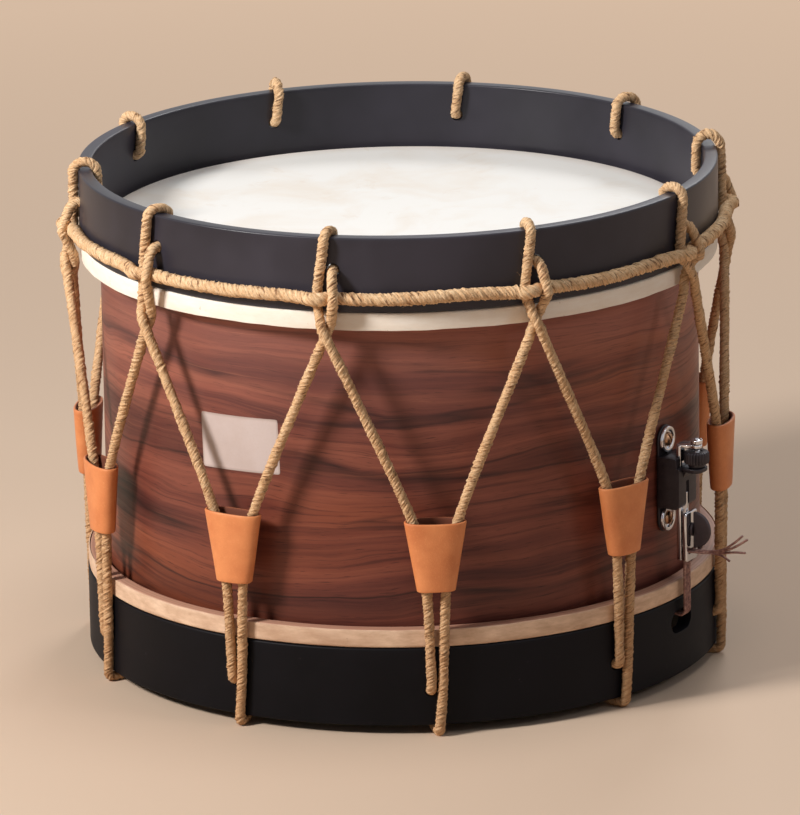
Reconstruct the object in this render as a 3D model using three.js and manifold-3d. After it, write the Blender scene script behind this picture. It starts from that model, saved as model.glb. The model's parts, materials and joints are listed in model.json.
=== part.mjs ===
// A rope-tensioned snare drum (atabal). A walnut shell carries a skin head at each end.
// Each head is lapped on a flesh hoop, and a tall wooden counterhoop presses the flesh hoop
// down. One rope laces the counterhoops together in ten V's, and a sliding leather tab on
// each V tightens it. Gut snares run under the lower head, from a strainer with a tension
// nut to a fixed butt clamp on the far side.
// Millimetres, +Z up. The origin is on the drum's axis, at the floor that it stands on.

import * as THREE from 'three';
import { mergeVertices } from 'three/addons/utils/BufferGeometryUtils.js';
import Module from 'manifold-3d';

const wasm = await Module();
wasm.setup();

// Fits and facets
const clearance = 0.3;
const overrun = 1;
const ringSegments = 60;
const ropeSides = 6;
const holeSides = 12;
const screwSides = 8;
const cupSides = 16;
const bendSteps = 2;

// Lacing
const hookCount = 10;
const strainerAzimuth = -45;
const ropeDiameter = 6.2;
const floorFlatShare = 0.1;
const ropeHoleDiameter = 7.6;
const topHoleDrop = 19;
const bottomHoleRise = 21.5;

// Shell
const shellRadius = 178;
const shellWall = 7;
const shellHeight = 212;
const bearingInset = 2;
const bearingRoundHeight = 1.5;
const bearingBevelHeight = 5;

// Heads and flesh hoops
const skinThickness = 0.7;
const collarDepth = 6.3;
const collarInset = 1.2;
const bandGap = 2.9;
const bandHeight = 10.8;
const fleshHoopWall = 7.6;

// Counterhoops
const hoopWall = 8;
const hoopOverhang = 0.5;
const hoopEdgeRound = 1.2;
const topHoopHeight = 44;
const bottomHoopHeight = 47;

// Lacing places across a hook and across a V, in its tangent plane
const holeAcross = 3.4;
const girthAcross = 5.9;
const rimAcross = 1.2;
const rimDriftShare = 0.65;
const hookDriftShares = [0.3, 0.2];
const girthDiameter = 7.4;
const girthRise = 9.6;
const crossingDrop = 11.9;
const hookBendRadius = 7;
const holeBendRadius = 3.9;
const tabRopeStandoff = 0.6;

// How far the rope stands off the upper rim at each hook, more than where it is pulled tight.
// The first is the hook over the strainer, and the others follow it anticlockwise.
const rimSlacks = [0, 4.8, 0.4, 0.2, 1, 0.4, 2.2, 0, 0, 0];

// Leather tabs, which are oval sleeves that widen to their mouth
const tabRise = 36.1;
const tabLifts = [15.5, 8, 3, 5, 2, 7, 5, 0, 0, 7];
const tabHeight = 42;
const tabWall = 2;
const tabSidePlay = 1.1;
const tabDepthPlay = 1.2;
const tabMouthPlay = 2.5;
const tabTopAcross = 12;
const tabBottomAcross = 5.1;
const tabSides = 20;
const tabSquareShare = 0.87;

// Snares
const snareDiameter = 1.6;
const snareSides = 5;
const snareSpacing = 1.95;
const snareBendRadius = 4;
const gateWidth = 24;
const gateHeight = 14;
const gateDrop = 14.4;
const gateTopMargin = 2.6;

// Strainer base plate, and the cup washers under its screws
const plateThickness = 1.6;
const plateWidth = 17;
const cupGap = 0.5;
const cupDiameter = 16;
const cupBore = 11;
const cupHeight = 2.2;
const cupFloor = 0.6;
const screwShank = 3.6;
const screwHead = 8.4;
const screwHeadHeight = 2.6;
const crownShare = 0.7;
const screwDepth = 5.2;

// Strainer body
const strainerRise = 61.1;
const bodyWidth = 21;
const bodyHeight = 31;
const bodyBackWall = 9;
const bodyFrontWall = 1.6;
const bodyRound = 3.5;
const bodyRoundShare = 0.3;
const windowWidth = 3.4;
const windowMargin = 2;
const shelfDrop = 5.8;
const shelfThickness = 2.5;
const shelfReach = 5.5;
const shelfWidth = 14;
const shelfRootDrop = 4.5;

// Snare slide with its tension stud and nut
const slideWidth = 10;
const slideThickness = 3;
const flangeGap = 1.6;
const flangeThickness = 2.4;
const flangeEyeDiameter = 6.8;
const studDiameter = 4;
const studTip = 0.8;
const studNutWidth = 7;
const studNutHeight = 2.8;
const knobDiameter = 15;
const knobGap = 0.5;
const knobTeeth = 24;
const knobToothDepth = 0.6;
const knobHeight = 9.5;
const knobNeckDiameter = 10;
const knobNeckHeight = 2;

// Snare clamp
const clampThickness = 2.4;
const clampWidth = 14;
const clampHeight = 30;
const clampGap = 2.5;
const clampScrewDrop = 11;
const clampScrewDiameter = 3;
const clampHubDiameter = 8;
const clampHubLength = 1.4;
const wingRadius = 11;
const wingThickness = 2.6;
const eyeRise = 6;
const eyeHeight = 3.2;
const eyeWidth = 9.6;
const eyeBendRadius = 2.4;

// Butt clamp
const buttRise = 57.1;
const buttMountPitch = 40;
const buttBlockWidth = 18;
const buttBlockHeight = 18;
const buttScrewDiameter = 2.6;
const buttScrewHead = 6;
const buttScrewHeadHeight = 2.2;
const buttScrewSpacing = 11.6;
const buttSnareEnd = 2.5;

// Tails of the snares, as steps outwards and upwards from the eye
const tailSteps = [
  [[8, -0.5], [19, 0], [28.4, -3.6]],
  [[8, 0], [20, 2.4], [30, 6.5], [37.4, 13.5]],
  [[8, 0], [20, 1.6], [31, 5], [40.4, 11.5]],
  [[8, -0.3], [20, 0.8], [31, 3.2], [39.4, 3.4]],
];

// Levels and radii that follow from the sizes above
const ropeRadius = ropeDiameter / 2;
const girthRadius = girthDiameter / 2;
const snareRadius = snareDiameter / 2;
const hookPitch = 360 / hookCount;

const bottomRimZ = ropeDiameter * (1 - floorFlatShare) + clearance;
const bottomHoopTopZ = bottomRimZ + bottomHoopHeight;
const lowerBandBottomZ = bottomHoopTopZ + clearance;
const snareHeadZ = lowerBandBottomZ - collarDepth;
const shellBottomZ = snareHeadZ + skinThickness + clearance;
const shellTopZ = shellBottomZ + shellHeight;
const batterHeadZ = shellTopZ + clearance + skinThickness;
const upperBandTopZ = batterHeadZ - collarDepth;
const topHoopBottomZ = upperBandTopZ + clearance;
const topRimZ = topHoopBottomZ + topHoopHeight;
const lowestTabZ = bottomHoopTopZ + tabRise;

const bandInnerRadius = shellRadius + bandGap;
const fleshHoopRadius = bandInnerRadius + fleshHoopWall;
const bandRadius = fleshHoopRadius + clearance + skinThickness;
const hoopRadius = bandRadius + hoopOverhang;
const hoopInnerRadius = hoopRadius - hoopWall;
const hoopMidRadius = hoopRadius - hoopWall / 2;
const rimBendRadius = ropeRadius + clearance;
const outsideRadius = hoopRadius + rimBendRadius;
const insideRadius = hoopInnerRadius - rimBendRadius;
const tabRopeRadius = outsideRadius + tabRopeStandoff;
const underRimZ = bottomRimZ - rimBendRadius;
const topHoleZ = topRimZ - topHoleDrop;
const bottomHoleZ = bottomRimZ + bottomHoleRise;

const girthZ = topHoopBottomZ + girthRise;
const girthRestRadius = hoopRadius + clearance * 2 + girthRadius;
const overGirthRadius = girthRestRadius + girthRadius + clearance + ropeRadius;
const crossingZ = topHoopBottomZ - crossingDrop;
const crossingRadius = outsideRadius + ropeRadius + clearance;

const snareBedZ = snareHeadZ - clearance - snareRadius;
const gateZ = bottomHoopTopZ - gateDrop;
const gateSnareZ = gateZ + gateHeight / 2 - gateTopMargin - snareRadius;

const plateBackRadius = shellRadius + clearance;
const plateFrontRadius = plateBackRadius + plateThickness;
const cupBackRadius = plateFrontRadius + clearance;
const cupFrontRadius = cupBackRadius + cupHeight;
const cupFloorRadius = cupBackRadius + cupFloor;
const bodyBackRadius = plateFrontRadius + clearance;
const slideInnerRadius = bodyBackRadius + bodyBackWall + clearance;
const slideOuterRadius = slideInnerRadius + slideThickness;
const bodySlotRadius = slideOuterRadius + clearance;
const bodyFrontRadius = bodySlotRadius + bodyFrontWall;
const studRadius = slideOuterRadius + knobGap + knobDiameter / 2;

const bodyBottomZ = shellBottomZ + strainerRise;
const bodyTopZ = bodyBottomZ + bodyHeight;
const upperCupZ = bodyTopZ + cupGap + cupDiameter / 2;
const lowerCupZ = bodyBottomZ - cupGap - cupDiameter / 2;
const shelfTopZ = bodyTopZ - shelfDrop;
const knobBottomZ = shelfTopZ + clearance;
const flangeTopZ = knobBottomZ + knobHeight + flangeGap + flangeThickness;
const clampTopZ = bodyBottomZ - clampGap;
const slideBottomZ = clampTopZ - clampHeight;
const clampScrewZ = clampTopZ - clampScrewDrop;
const eyeZ = slideBottomZ + eyeRise;

const snareRunRadius = slideOuterRadius + clearance + snareRadius;
const clampInnerRadius = snareRunRadius + snareRadius + clearance;
const clampOuterRadius = clampInnerRadius + clampThickness;
const buttMiddleZ = shellBottomZ + buttRise;
const buttUpperScrewZ = buttMiddleZ + buttMountPitch / 2;
const buttLowerScrewZ = buttMiddleZ - buttMountPitch / 2;
const buttBlockBottomZ = buttMiddleZ - buttBlockHeight / 2;
const buttBlockTopZ = buttMiddleZ + buttBlockHeight / 2;
const buttScrewPlaces = [[buttScrewSpacing / 2, buttMiddleZ], [-buttScrewSpacing / 2, buttMiddleZ]];

// Materials
const walnut = new THREE.MeshStandardMaterial({ color: 0x6b3a26, roughness: 0.45 });
const blackLacquer = new THREE.MeshStandardMaterial({ color: 0x17161c, roughness: 0.3 });
const hoopWood = new THREE.MeshStandardMaterial({ color: 0xc79a7c, roughness: 0.6 });
const skin = new THREE.MeshStandardMaterial({ color: 0xf3ece0, roughness: 0.55 });
const hemp = new THREE.MeshStandardMaterial({ color: 0xc19a63, roughness: 0.95 });
const leather = new THREE.MeshStandardMaterial({ color: 0xc9772f, roughness: 0.6 });
const gut = new THREE.MeshStandardMaterial({ color: 0xa8794f, roughness: 0.5 });
const chrome = new THREE.MeshStandardMaterial({ color: 0xd8d9dc, roughness: 0.15, metalness: 1 });
const blackMetal = new THREE.MeshStandardMaterial({ color: 0x1c1a1d, roughness: 0.4, metalness: 0.6 });

const radians = THREE.MathUtils.degToRad;
const lerp = THREE.MathUtils.lerp;

// The drum is built with its strainer on +X, and the whole of it is turned at the end.
const drum = new THREE.Group();
drum.rotation.z = radians(strainerAzimuth);

function add(parent, name, geometry, material) {
  const mesh = new THREE.Mesh(geometry, material);
  mesh.name = name;
  parent.add(mesh);
  return mesh;
}

// A point beside a vertical plane through the axis: out from the axis, across the plane, up.
function at(azimuth, radial, across, z) {
  const angle = radians(azimuth);
  return new THREE.Vector3(
    radial * Math.cos(angle) - across * Math.sin(angle),
    radial * Math.sin(angle) + across * Math.cos(angle),
    z,
  );
}

// Booleans
function toSolid(geometry) {
  const bare = geometry.clone();
  bare.deleteAttribute('normal');
  bare.deleteAttribute('uv');
  const merged = mergeVertices(bare);
  const corners = merged.index.array;
  const kept = [];
  for (let i = 0; i < corners.length; i += 3) {
    const [a, b, c] = corners.slice(i, i + 3);
    if (a !== b && b !== c && c !== a) kept.push(a, b, c);
  }
  return new wasm.Manifold(new wasm.Mesh({
    numProp: 3,
    vertProperties: merged.attributes.position.array,
    triVerts: new Uint32Array(kept),
  }));
}

function toGeometry(solid) {
  const mesh = solid.getMesh();
  const geometry = new THREE.BufferGeometry();
  geometry.setAttribute('position', new THREE.BufferAttribute(mesh.vertProperties, 3));
  geometry.setIndex(new THREE.BufferAttribute(mesh.triVerts, 1));
  geometry.computeVertexNormals();
  return geometry;
}

function join(geometries) {
  return toGeometry(geometries.map(toSolid).reduce((whole, solid) => whole.add(solid)));
}

function common(first, second) {
  return toGeometry(toSolid(first).intersect(toSolid(second)));
}

function cut(geometry, tools) {
  return toGeometry(tools.reduce((whole, tool) => whole.subtract(toSolid(tool)), toSolid(geometry)));
}

// Turned, drilled and extruded forms
function revolve(profile) {
  const points = [...profile, profile[0]].map(([radial, z]) => new THREE.Vector2(radial, z));
  const halfFacet = Math.PI / ringSegments;
  return new THREE.LatheGeometry(points, ringSegments, halfFacet).rotateX(Math.PI / 2);
}

function radialCylinder(diameter, innerRadius, outerRadius, across, z, azimuth = 0, sides = holeSides) {
  const length = outerRadius - innerRadius;
  const cylinder = new THREE.CylinderGeometry(diameter / 2, diameter / 2, length, sides);
  cylinder.rotateZ(Math.PI / 2).translate(innerRadius + length / 2, across, z);
  return cylinder.rotateZ(radians(azimuth));
}

function verticalCylinder(diameter, radial, bottomZ, topZ, sides = holeSides) {
  const height = topZ - bottomZ;
  const cylinder = new THREE.CylinderGeometry(diameter / 2, diameter / 2, height, sides);
  return cylinder.rotateX(Math.PI / 2).translate(radial, 0, bottomZ + height / 2);
}

function block(innerRadius, outerRadius, width, bottomZ, topZ) {
  const box = new THREE.BoxGeometry(outerRadius - innerRadius, width, topZ - bottomZ);
  return box.translate((innerRadius + outerRadius) / 2, 0, (bottomZ + topZ) / 2);
}

// A slab that faces outwards: its outline is drawn across and up, its thickness is radial.
function facingSlab(shape, innerRadius, outerRadius, curveSegments = holeSides / 4) {
  const slab = new THREE.ExtrudeGeometry(shape, {
    depth: outerRadius - innerRadius, bevelEnabled: false, curveSegments,
  });
  return slab.rotateX(Math.PI / 2).rotateZ(Math.PI / 2).translate(innerRadius, 0, 0);
}

// A slab that lies level: its outline is drawn outwards and across.
function levelSlab(shape, bottomZ, topZ, curveSegments = holeSides / 2) {
  const depth = topZ - bottomZ;
  const slab = new THREE.ExtrudeGeometry(shape, { depth, bevelEnabled: false, curveSegments });
  return slab.translate(0, 0, bottomZ);
}

// A slot or plate outline with round ends, across or up.
function capsule(width, height, centreZ) {
  const round = Math.min(width, height) / 2;
  const acrossReach = width / 2 - round;
  const upReach = height / 2 - round;
  const shape = new THREE.Shape();
  const quarters = [[1, 1, 0], [-1, 1, 90], [-1, -1, 180], [1, -1, 270]];
  for (const [side, end, start] of quarters) {
    const from = radians(start);
    shape.absarc(side * acrossReach, centreZ + end * upReach, round, from, from + Math.PI / 2);
  }
  shape.closePath();
  return shape;
}

function polygon(diameter, sides) {
  const points = [];
  for (let i = 0; i < sides; i++) {
    const angle = (i + 0.5) * 2 * Math.PI / sides;
    points.push(new THREE.Vector2(Math.cos(angle), Math.sin(angle)).multiplyScalar(diameter / 2));
  }
  return new THREE.Shape(points);
}

// A route keeps one station for each of its points, so that a tube has rings where it bends.
class Route extends THREE.Curve {
  constructor(points) {
    super();
    this.points = points;
  }

  getPoint(share) {
    return this.points[Math.round(share * (this.points.length - 1))].clone();
  }

  getPointAt(share) {
    return this.getPoint(share);
  }

  getTangentAt(share) {
    const here = Math.round(share * (this.points.length - 1));
    const tangent = new THREE.Vector3();
    for (const i of [here, here + 1]) {
      if (i < 1 || i >= this.points.length) continue;
      tangent.add(this.points[i].clone().sub(this.points[i - 1]).normalize());
    }
    return tangent.normalize();
  }
}

function tube(points, diameter, sides) {
  return new THREE.ExtrudeGeometry(polygon(diameter, sides), {
    extrudePath: new Route(points), steps: points.length - 1, bevelEnabled: false,
  });
}

// A closed sleeve through loops of points: up its outside and down its inside.
function loft(loops) {
  const sides = loops[0].length;
  const index = [];
  for (let row = 0; row < loops.length; row++) {
    const here = row * sides;
    const there = (row + 1) % loops.length * sides;
    for (let i = 0; i < sides; i++) {
      const next = (i + 1) % sides;
      index.push(here + i, here + next, there + next, here + i, there + next, there + i);
    }
  }
  const geometry = new THREE.BufferGeometry();
  geometry.setAttribute('position', new THREE.Float32BufferAttribute(loops.flat(2), 3));
  geometry.setIndex(index);
  geometry.computeVertexNormals();
  return geometry;
}

// Points of a bend in a hook's plane, round a centre, while the rope drifts across.
function bend(azimuth, centre, radius, angles, across) {
  const points = [];
  for (let i = 0; i <= bendSteps; i++) {
    const share = i / bendSteps;
    const angle = radians(lerp(angles[0], angles[1], share));
    const radial = centre[0] + radius * Math.cos(angle);
    const drift = lerp(across[0], across[1], share);
    points.push(at(azimuth, radial, drift, centre[1] + radius * Math.sin(angle)));
  }
  return points;
}

// Shell with a bearing edge at each end and pilot holes for the fittings' screws
function shellGeometry() {
  const innerRadius = shellRadius - shellWall;
  const edgeRadius = shellRadius - bearingInset;
  const shell = revolve([
    [innerRadius, shellBottomZ + bearingBevelHeight],
    [edgeRadius, shellBottomZ],
    [shellRadius, shellBottomZ + bearingRoundHeight],
    [shellRadius, shellTopZ - bearingRoundHeight],
    [edgeRadius, shellTopZ],
    [innerRadius, shellTopZ - bearingBevelHeight],
  ]);
  const pilot = screwShank + clearance * 2;
  const pilotEnd = plateBackRadius - screwDepth - clearance;
  const pilots = [[0, upperCupZ], [0, lowerCupZ], [180, buttUpperScrewZ], [180, buttLowerScrewZ]];
  return cut(shell, pilots.map(([azimuth, z]) => (
    radialCylinder(pilot, pilotEnd, shellRadius + overrun, 0, z, azimuth)
  )));
}

// A head faces up or down. Its skin turns over the bearing edge and laps its flesh hoop.
function headGeometry(faceZ, up) {
  const profile = [
    [0, 0],
    [shellRadius - bearingInset, 0],
    [shellRadius + collarInset, -bearingRoundHeight - skinThickness],
    [bandInnerRadius, -collarDepth],
    [bandRadius, -collarDepth],
    [bandRadius, -collarDepth - bandHeight],
    [bandRadius - skinThickness, -collarDepth - bandHeight],
    [bandRadius - skinThickness, -collarDepth - skinThickness],
    [bandInnerRadius - skinThickness, -collarDepth - skinThickness],
    [shellRadius + collarInset - skinThickness, -bearingRoundHeight - skinThickness - clearance],
    [shellRadius - bearingInset, -skinThickness],
    [0, -skinThickness],
  ].map(([radial, depth]) => [radial, faceZ + up * depth]);
  return revolve(up > 0 ? profile.reverse() : profile);
}

function fleshHoopGeometry(headZ, up) {
  const near = headZ - up * (collarDepth + skinThickness + clearance);
  const far = headZ - up * (collarDepth + bandHeight);
  const [low, high] = [Math.min(near, far), Math.max(near, far)];
  return revolve([
    [bandInnerRadius, low], [fleshHoopRadius, low], [fleshHoopRadius, high], [bandInnerRadius, high],
  ]);
}

function hoopBlank(bottomZ, topZ) {
  return revolve([
    [hoopInnerRadius + hoopEdgeRound, bottomZ],
    [hoopRadius - hoopEdgeRound, bottomZ],
    [hoopRadius, bottomZ + hoopEdgeRound],
    [hoopRadius, topZ - hoopEdgeRound],
    [hoopRadius - hoopEdgeRound, topZ],
    [hoopInnerRadius + hoopEdgeRound, topZ],
    [hoopInnerRadius, topZ - hoopEdgeRound],
    [hoopInnerRadius, bottomZ + hoopEdgeRound],
  ]);
}

function ropeHole(azimuth, across, z) {
  const inner = hoopInnerRadius - overrun;
  return radialCylinder(ropeHoleDiameter, inner, hoopRadius + overrun, across, z, azimuth);
}

function topHoopGeometry() {
  const holes = [];
  for (let k = 0; k < hookCount; k++) holes.push(ropeHole(k * hookPitch, holeAcross, topHoleZ));
  return cut(hoopBlank(topHoopBottomZ, topRimZ), holes);
}

// The lower counterhoop has a rope hole under each V and a snare gate at each side.
function bottomHoopGeometry() {
  const holes = [];
  for (let k = 0; k < hookCount; k++) {
    holes.push(ropeHole((k + 0.5) * hookPitch, -holeAcross, bottomHoleZ));
  }
  const gate = facingSlab(
    capsule(gateWidth, gateHeight, gateZ), hoopInnerRadius - overrun, hoopRadius + overrun,
  );
  return cut(hoopBlank(bottomRimZ, bottomHoopTopZ), [...holes, gate, gate.clone().rotateZ(Math.PI)]);
}

// The two strands at a hook cross below the girth rope. A strand's rows give its height above
// the crossing, its distance to its own side and how far it stands off the middle radius, in
// rope diameters. The strand from the rim passes in front, and the one from the hole behind.
const crossingShares = [
  [1.7, 0.58, 0],
  [0.84, 0.4, 0.39],
  [0, 0, 0.56],
  [-0.82, -0.39, 0.43],
  [-1.65, -0.74, 0.26],
];

function crossing(azimuth, side) {
  return crossingShares.map(([up, across, lift]) => at(
    azimuth,
    crossingRadius - side * lift * ropeDiameter,
    side * across * ropeDiameter,
    crossingZ + up * ropeDiameter,
  ));
}

// Places along a strand that both strands of a V share
const meet = clearance / 2;
const holeDrift = holeAcross - clearance / 2;
const rimDrift = rimAcross * rimDriftShare;
const tabRopeTopZ = lowestTabZ + tabHeight + clearance;
const tabRopeBottomZ = lowestTabZ - clearance;
const belowGirthZ = girthZ - girthRadius + clearance;

// The arch over the upper rim, where the rope may be slack. Angles run from outside to inside.
function rimArch(hook, side, angles, across) {
  const slack = rimSlacks[Math.round(hook / hookPitch) % hookCount];
  const centre = side > 0 ? hoopRadius : hoopInnerRadius;
  return bend(hook, [centre, topRimZ], rimBendRadius, angles, across).map((point) => {
    const share = (point.z - topRimZ) / rimBendRadius;
    return point.setZ(point.z + slack * share);
  });
}

function rimCrown(hook, radial) {
  const slack = rimSlacks[Math.round(hook / hookPitch) % hookCount];
  return at(hook, radial, 0, topRimZ + rimBendRadius + slack);
}

// The strand on the right of a V starts at the middle of the upper rim, goes down inside the
// counterhoop, out through its hole, over the girth rope and behind the crossing, and down
// to the middle of the lower rim. Each V's tab has its own lift.
function rightStrand(azimuth, lift) {
  const hook = azimuth + hookPitch / 2;
  const holeBend = [insideRadius + holeBendRadius, topHoleZ + holeBendRadius];
  const hookBend = [hoopRadius, topHoleZ - hookBendRadius];
  const hookAcross = lerp(holeAcross, girthAcross, hookDriftShares[0]);
  const belowAcross = lerp(girthAcross, holeAcross, hookDriftShares[1]);
  return [
    rimCrown(hook, hoopMidRadius - meet),
    ...rimArch(hook, -1, [90, 180], [rimDrift, rimAcross]),
    ...bend(hook, holeBend, holeBendRadius, [180, 270], [holeDrift, holeAcross]),
    ...bend(hook, hookBend, hookBendRadius, [90, 20], [holeAcross, hookAcross]),
    at(hook, overGirthRadius, girthAcross, girthZ),
    at(hook, overGirthRadius - clearance, belowAcross, belowGirthZ),
    ...crossing(hook, 1),
    at(azimuth, tabRopeRadius, tabTopAcross, tabRopeTopZ + lift),
    at(azimuth, tabRopeRadius, tabBottomAcross, tabRopeBottomZ + lift),
    at(azimuth, outsideRadius, holeAcross, bottomHoleZ),
    ...bend(azimuth, [hoopRadius, bottomRimZ], rimBendRadius, [0, -90], [rimAcross, rimDrift]),
    at(azimuth, hoopMidRadius + meet, 0, underRimZ),
  ];
}

// The strand on the left of a V goes on from there, up inside the lower counterhoop, out
// through its hole, up behind the girth rope and over the upper rim.
function leftStrand(azimuth, lift) {
  const hook = azimuth - hookPitch / 2;
  const innerHoleBend = [insideRadius + holeBendRadius, bottomHoleZ - holeBendRadius];
  const outerHoleBend = [outsideRadius - holeBendRadius, bottomHoleZ + holeBendRadius];
  return [
    at(azimuth, hoopMidRadius - meet, 0, underRimZ),
    ...bend(azimuth, [hoopInnerRadius, bottomRimZ], rimBendRadius, [-90, -180], [-rimDrift, -rimAcross]),
    ...bend(azimuth, innerHoleBend, holeBendRadius, [180, 90], [-holeDrift, -holeAcross]),
    ...bend(azimuth, outerHoleBend, holeBendRadius, [270, 360], [-holeAcross, -holeAcross]),
    at(azimuth, tabRopeRadius, -tabBottomAcross, tabRopeBottomZ + lift),
    at(azimuth, tabRopeRadius, -tabTopAcross, tabRopeTopZ + lift),
    ...crossing(hook, -1).reverse(),
    at(hook, outsideRadius, -girthAcross, belowGirthZ),
    at(hook, outsideRadius, -girthAcross, girthZ + girthRadius),
    ...rimArch(hook, 1, [0, 90], [-rimAcross, -rimDrift]),
    rimCrown(hook, hoopMidRadius + meet),
  ];
}

// A strand stands on its bend under the lower rim, which is pressed flat there.
function strandGeometry(route, azimuth) {
  const floor = block(0, hoopRadius + hoopWall * 2, hoopWall * 4, -ropeDiameter, 0);
  return cut(tube(route, ropeDiameter, ropeSides), [floor.rotateZ(radians(azimuth))]);
}

// The girth rope passes in front of each hook's left strand and behind its right one, and
// its two ends meet behind the right strand of the hook at the back.
function girthRoute() {
  const points = [];
  const left = [-girthAcross, outsideRadius];
  const right = [girthAcross, overGirthRadius];
  const slope = Math.atan2(right[1] - left[1], right[0] - left[0]);
  const reach = Math.hypot(right[1] - left[1], right[0] - left[0]) / 2;
  const weave = (hook, centre, angle) => at(
    hook, centre[1] + reach * Math.sin(angle), centre[0] + reach * Math.cos(angle), girthZ,
  );
  const first = hookCount / 2;
  const freeStations = 4;
  for (let k = 0; k < hookCount; k++) {
    const hook = (first + k) * hookPitch;
    const next = hook + hookPitch;
    if (k === 0) points.push(at(hook, girthRestRadius, girthAcross + clearance / 2, girthZ));
    for (let i = 0; i < freeStations; i++) {
      const share = (i + 1.5) / (freeStations + 2);
      points.push(at(lerp(hook, next, share), girthRestRadius, 0, girthZ));
    }
    points.push(weave(next, left, Math.PI - slope));
    points.push(weave(next, left, Math.PI / 2));
    points.push(weave(next, left, (Math.PI / 2 + slope) / 2));
    points.push(weave(next, left, slope));
    points.push(weave(next, right, (Math.PI * 5 / 2 + slope) / 2));
    const last = k === hookCount - 1 ? clearance / 2 : 0;
    points.push(at(next, girthRestRadius, girthAcross - last, girthZ));
  }
  return points;
}

// A tab is a sleeve round both strands of a V, and follows them apart towards its mouth. Its
// ovals are a little squarer than ellipses, which leaves the strands room at the corners.
function tabOval(halfDepth, halfWidth) {
  const stretch = (value) => Math.sign(value) * Math.abs(value) ** tabSquareShare;
  const points = [];
  for (let i = 0; i < tabSides; i++) {
    const angle = i * 2 * Math.PI / tabSides;
    points.push([halfDepth * stretch(Math.cos(angle)), halfWidth * stretch(Math.sin(angle))]);
  }
  return points;
}

function tabGeometry() {
  const bottomHalves = [ropeRadius + tabDepthPlay, tabBottomAcross + ropeRadius + tabSidePlay];
  const topHalves = [ropeRadius + tabMouthPlay, tabTopAcross + ropeRadius + tabSidePlay];
  const loop = (halves, grow, z) => (
    tabOval(halves[0] + grow, halves[1] + grow).map(([x, y]) => [x, y, z])
  );
  return loft([
    loop(bottomHalves, tabWall, 0), loop(topHalves, tabWall, tabHeight),
    loop(topHalves, 0, tabHeight), loop(bottomHalves, 0, 0),
  ]);
}

// Strainer pieces, all on +X
function screwGeometry([across, z], headBackRadius, shank, head, headHeight, tipRadius) {
  const headRadii = [headBackRadius, headBackRadius + headHeight];
  const shaft = radialCylinder(shank, tipRadius, headBackRadius + clearance, across, z, 0, screwSides);
  const brim = radialCylinder(head, headRadii[0], headBackRadius + headHeight / 2, across, z);
  const crown = radialCylinder(head * crownShare, ...headRadii, across, z);
  return join([shaft, brim, crown]);
}

function screwHole(z) {
  const diameter = screwShank + clearance * 2;
  return radialCylinder(diameter, plateBackRadius - overrun, cupFrontRadius + overrun, 0, z);
}

function basePlateGeometry() {
  const height = upperCupZ - lowerCupZ + plateWidth;
  const outline = capsule(plateWidth, height, (upperCupZ + lowerCupZ) / 2);
  const plate = facingSlab(outline, plateBackRadius, plateFrontRadius);
  return cut(plate, [screwHole(upperCupZ), screwHole(lowerCupZ)]);
}

function cupGeometry(z) {
  const cup = radialCylinder(cupDiameter, cupBackRadius, cupFrontRadius, 0, z, 0, cupSides);
  const bore = radialCylinder(cupBore, cupFloorRadius, cupFrontRadius + overrun, 0, z, 0, cupSides);
  return cut(cup, [bore, screwHole(z)]);
}

// The body is a casting. The slide runs in its slot and shows in a narrow window in front.
function bodyGeometry() {
  const profile = (points) => new THREE.Shape(points.map(([radial, z]) => new THREE.Vector2(radial, z)));
  const sideways = (shape, width) => {
    const slab = new THREE.ExtrudeGeometry(shape, { depth: width, bevelEnabled: false });
    return slab.rotateX(Math.PI / 2).translate(0, width / 2, 0);
  };
  const casting = sideways(profile([
    [bodyBackRadius, bodyBottomZ],
    [bodyFrontRadius - bodyRound, bodyBottomZ],
    [bodyFrontRadius - bodyRound * bodyRoundShare, bodyBottomZ + bodyRound * bodyRoundShare],
    [bodyFrontRadius, bodyBottomZ + bodyRound],
    [bodyFrontRadius, shelfTopZ],
    [slideOuterRadius, shelfTopZ],
    [slideOuterRadius, bodyTopZ],
    [bodyBackRadius, bodyTopZ],
  ]), bodyWidth);
  const half = bodyWidth / 2;
  const roundCentre = [bodyFrontRadius - bodyRound, half - bodyRound];
  const plan = new THREE.Shape();
  plan.moveTo(bodyBackRadius, -half);
  plan.absarc(roundCentre[0], -roundCentre[1], bodyRound, -Math.PI / 2, 0);
  plan.absarc(roundCentre[0], roundCentre[1], bodyRound, 0, Math.PI / 2);
  plan.lineTo(bodyBackRadius, half);
  const rounded = common(casting, levelSlab(plan, bodyBottomZ, bodyTopZ, bendSteps));
  const shelfEnd = studRadius + shelfReach;
  const shelfBottomZ = shelfTopZ - shelfThickness;
  const shelf = sideways(profile([
    [bodySlotRadius, shelfBottomZ - shelfRootDrop],
    [bodyFrontRadius, shelfBottomZ - shelfRootDrop],
    [studRadius - studDiameter, shelfBottomZ],
    [shelfEnd, shelfBottomZ],
    [shelfEnd, shelfTopZ],
    [bodySlotRadius, shelfTopZ],
  ]), shelfWidth);
  const slot = block(
    slideInnerRadius - clearance, bodySlotRadius, slideWidth + clearance * 2,
    bodyBottomZ - overrun, bodyTopZ + overrun,
  );
  const window = block(
    bodySlotRadius - overrun, bodyFrontRadius + overrun, windowWidth,
    bodyBottomZ - overrun, shelfBottomZ - shelfRootDrop - windowMargin,
  );
  const bore = verticalCylinder(
    studDiameter + clearance * 2, studRadius, shelfBottomZ - shelfRootDrop - overrun, shelfTopZ + overrun,
  );
  return cut(join([rounded, shelf]), [slot, window, bore]);
}

function clampScrewHole(innerRadius, outerRadius) {
  const diameter = clampScrewDiameter + clearance * 2;
  return radialCylinder(diameter, innerRadius - overrun, outerRadius + overrun, 0, clampScrewZ);
}

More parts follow.
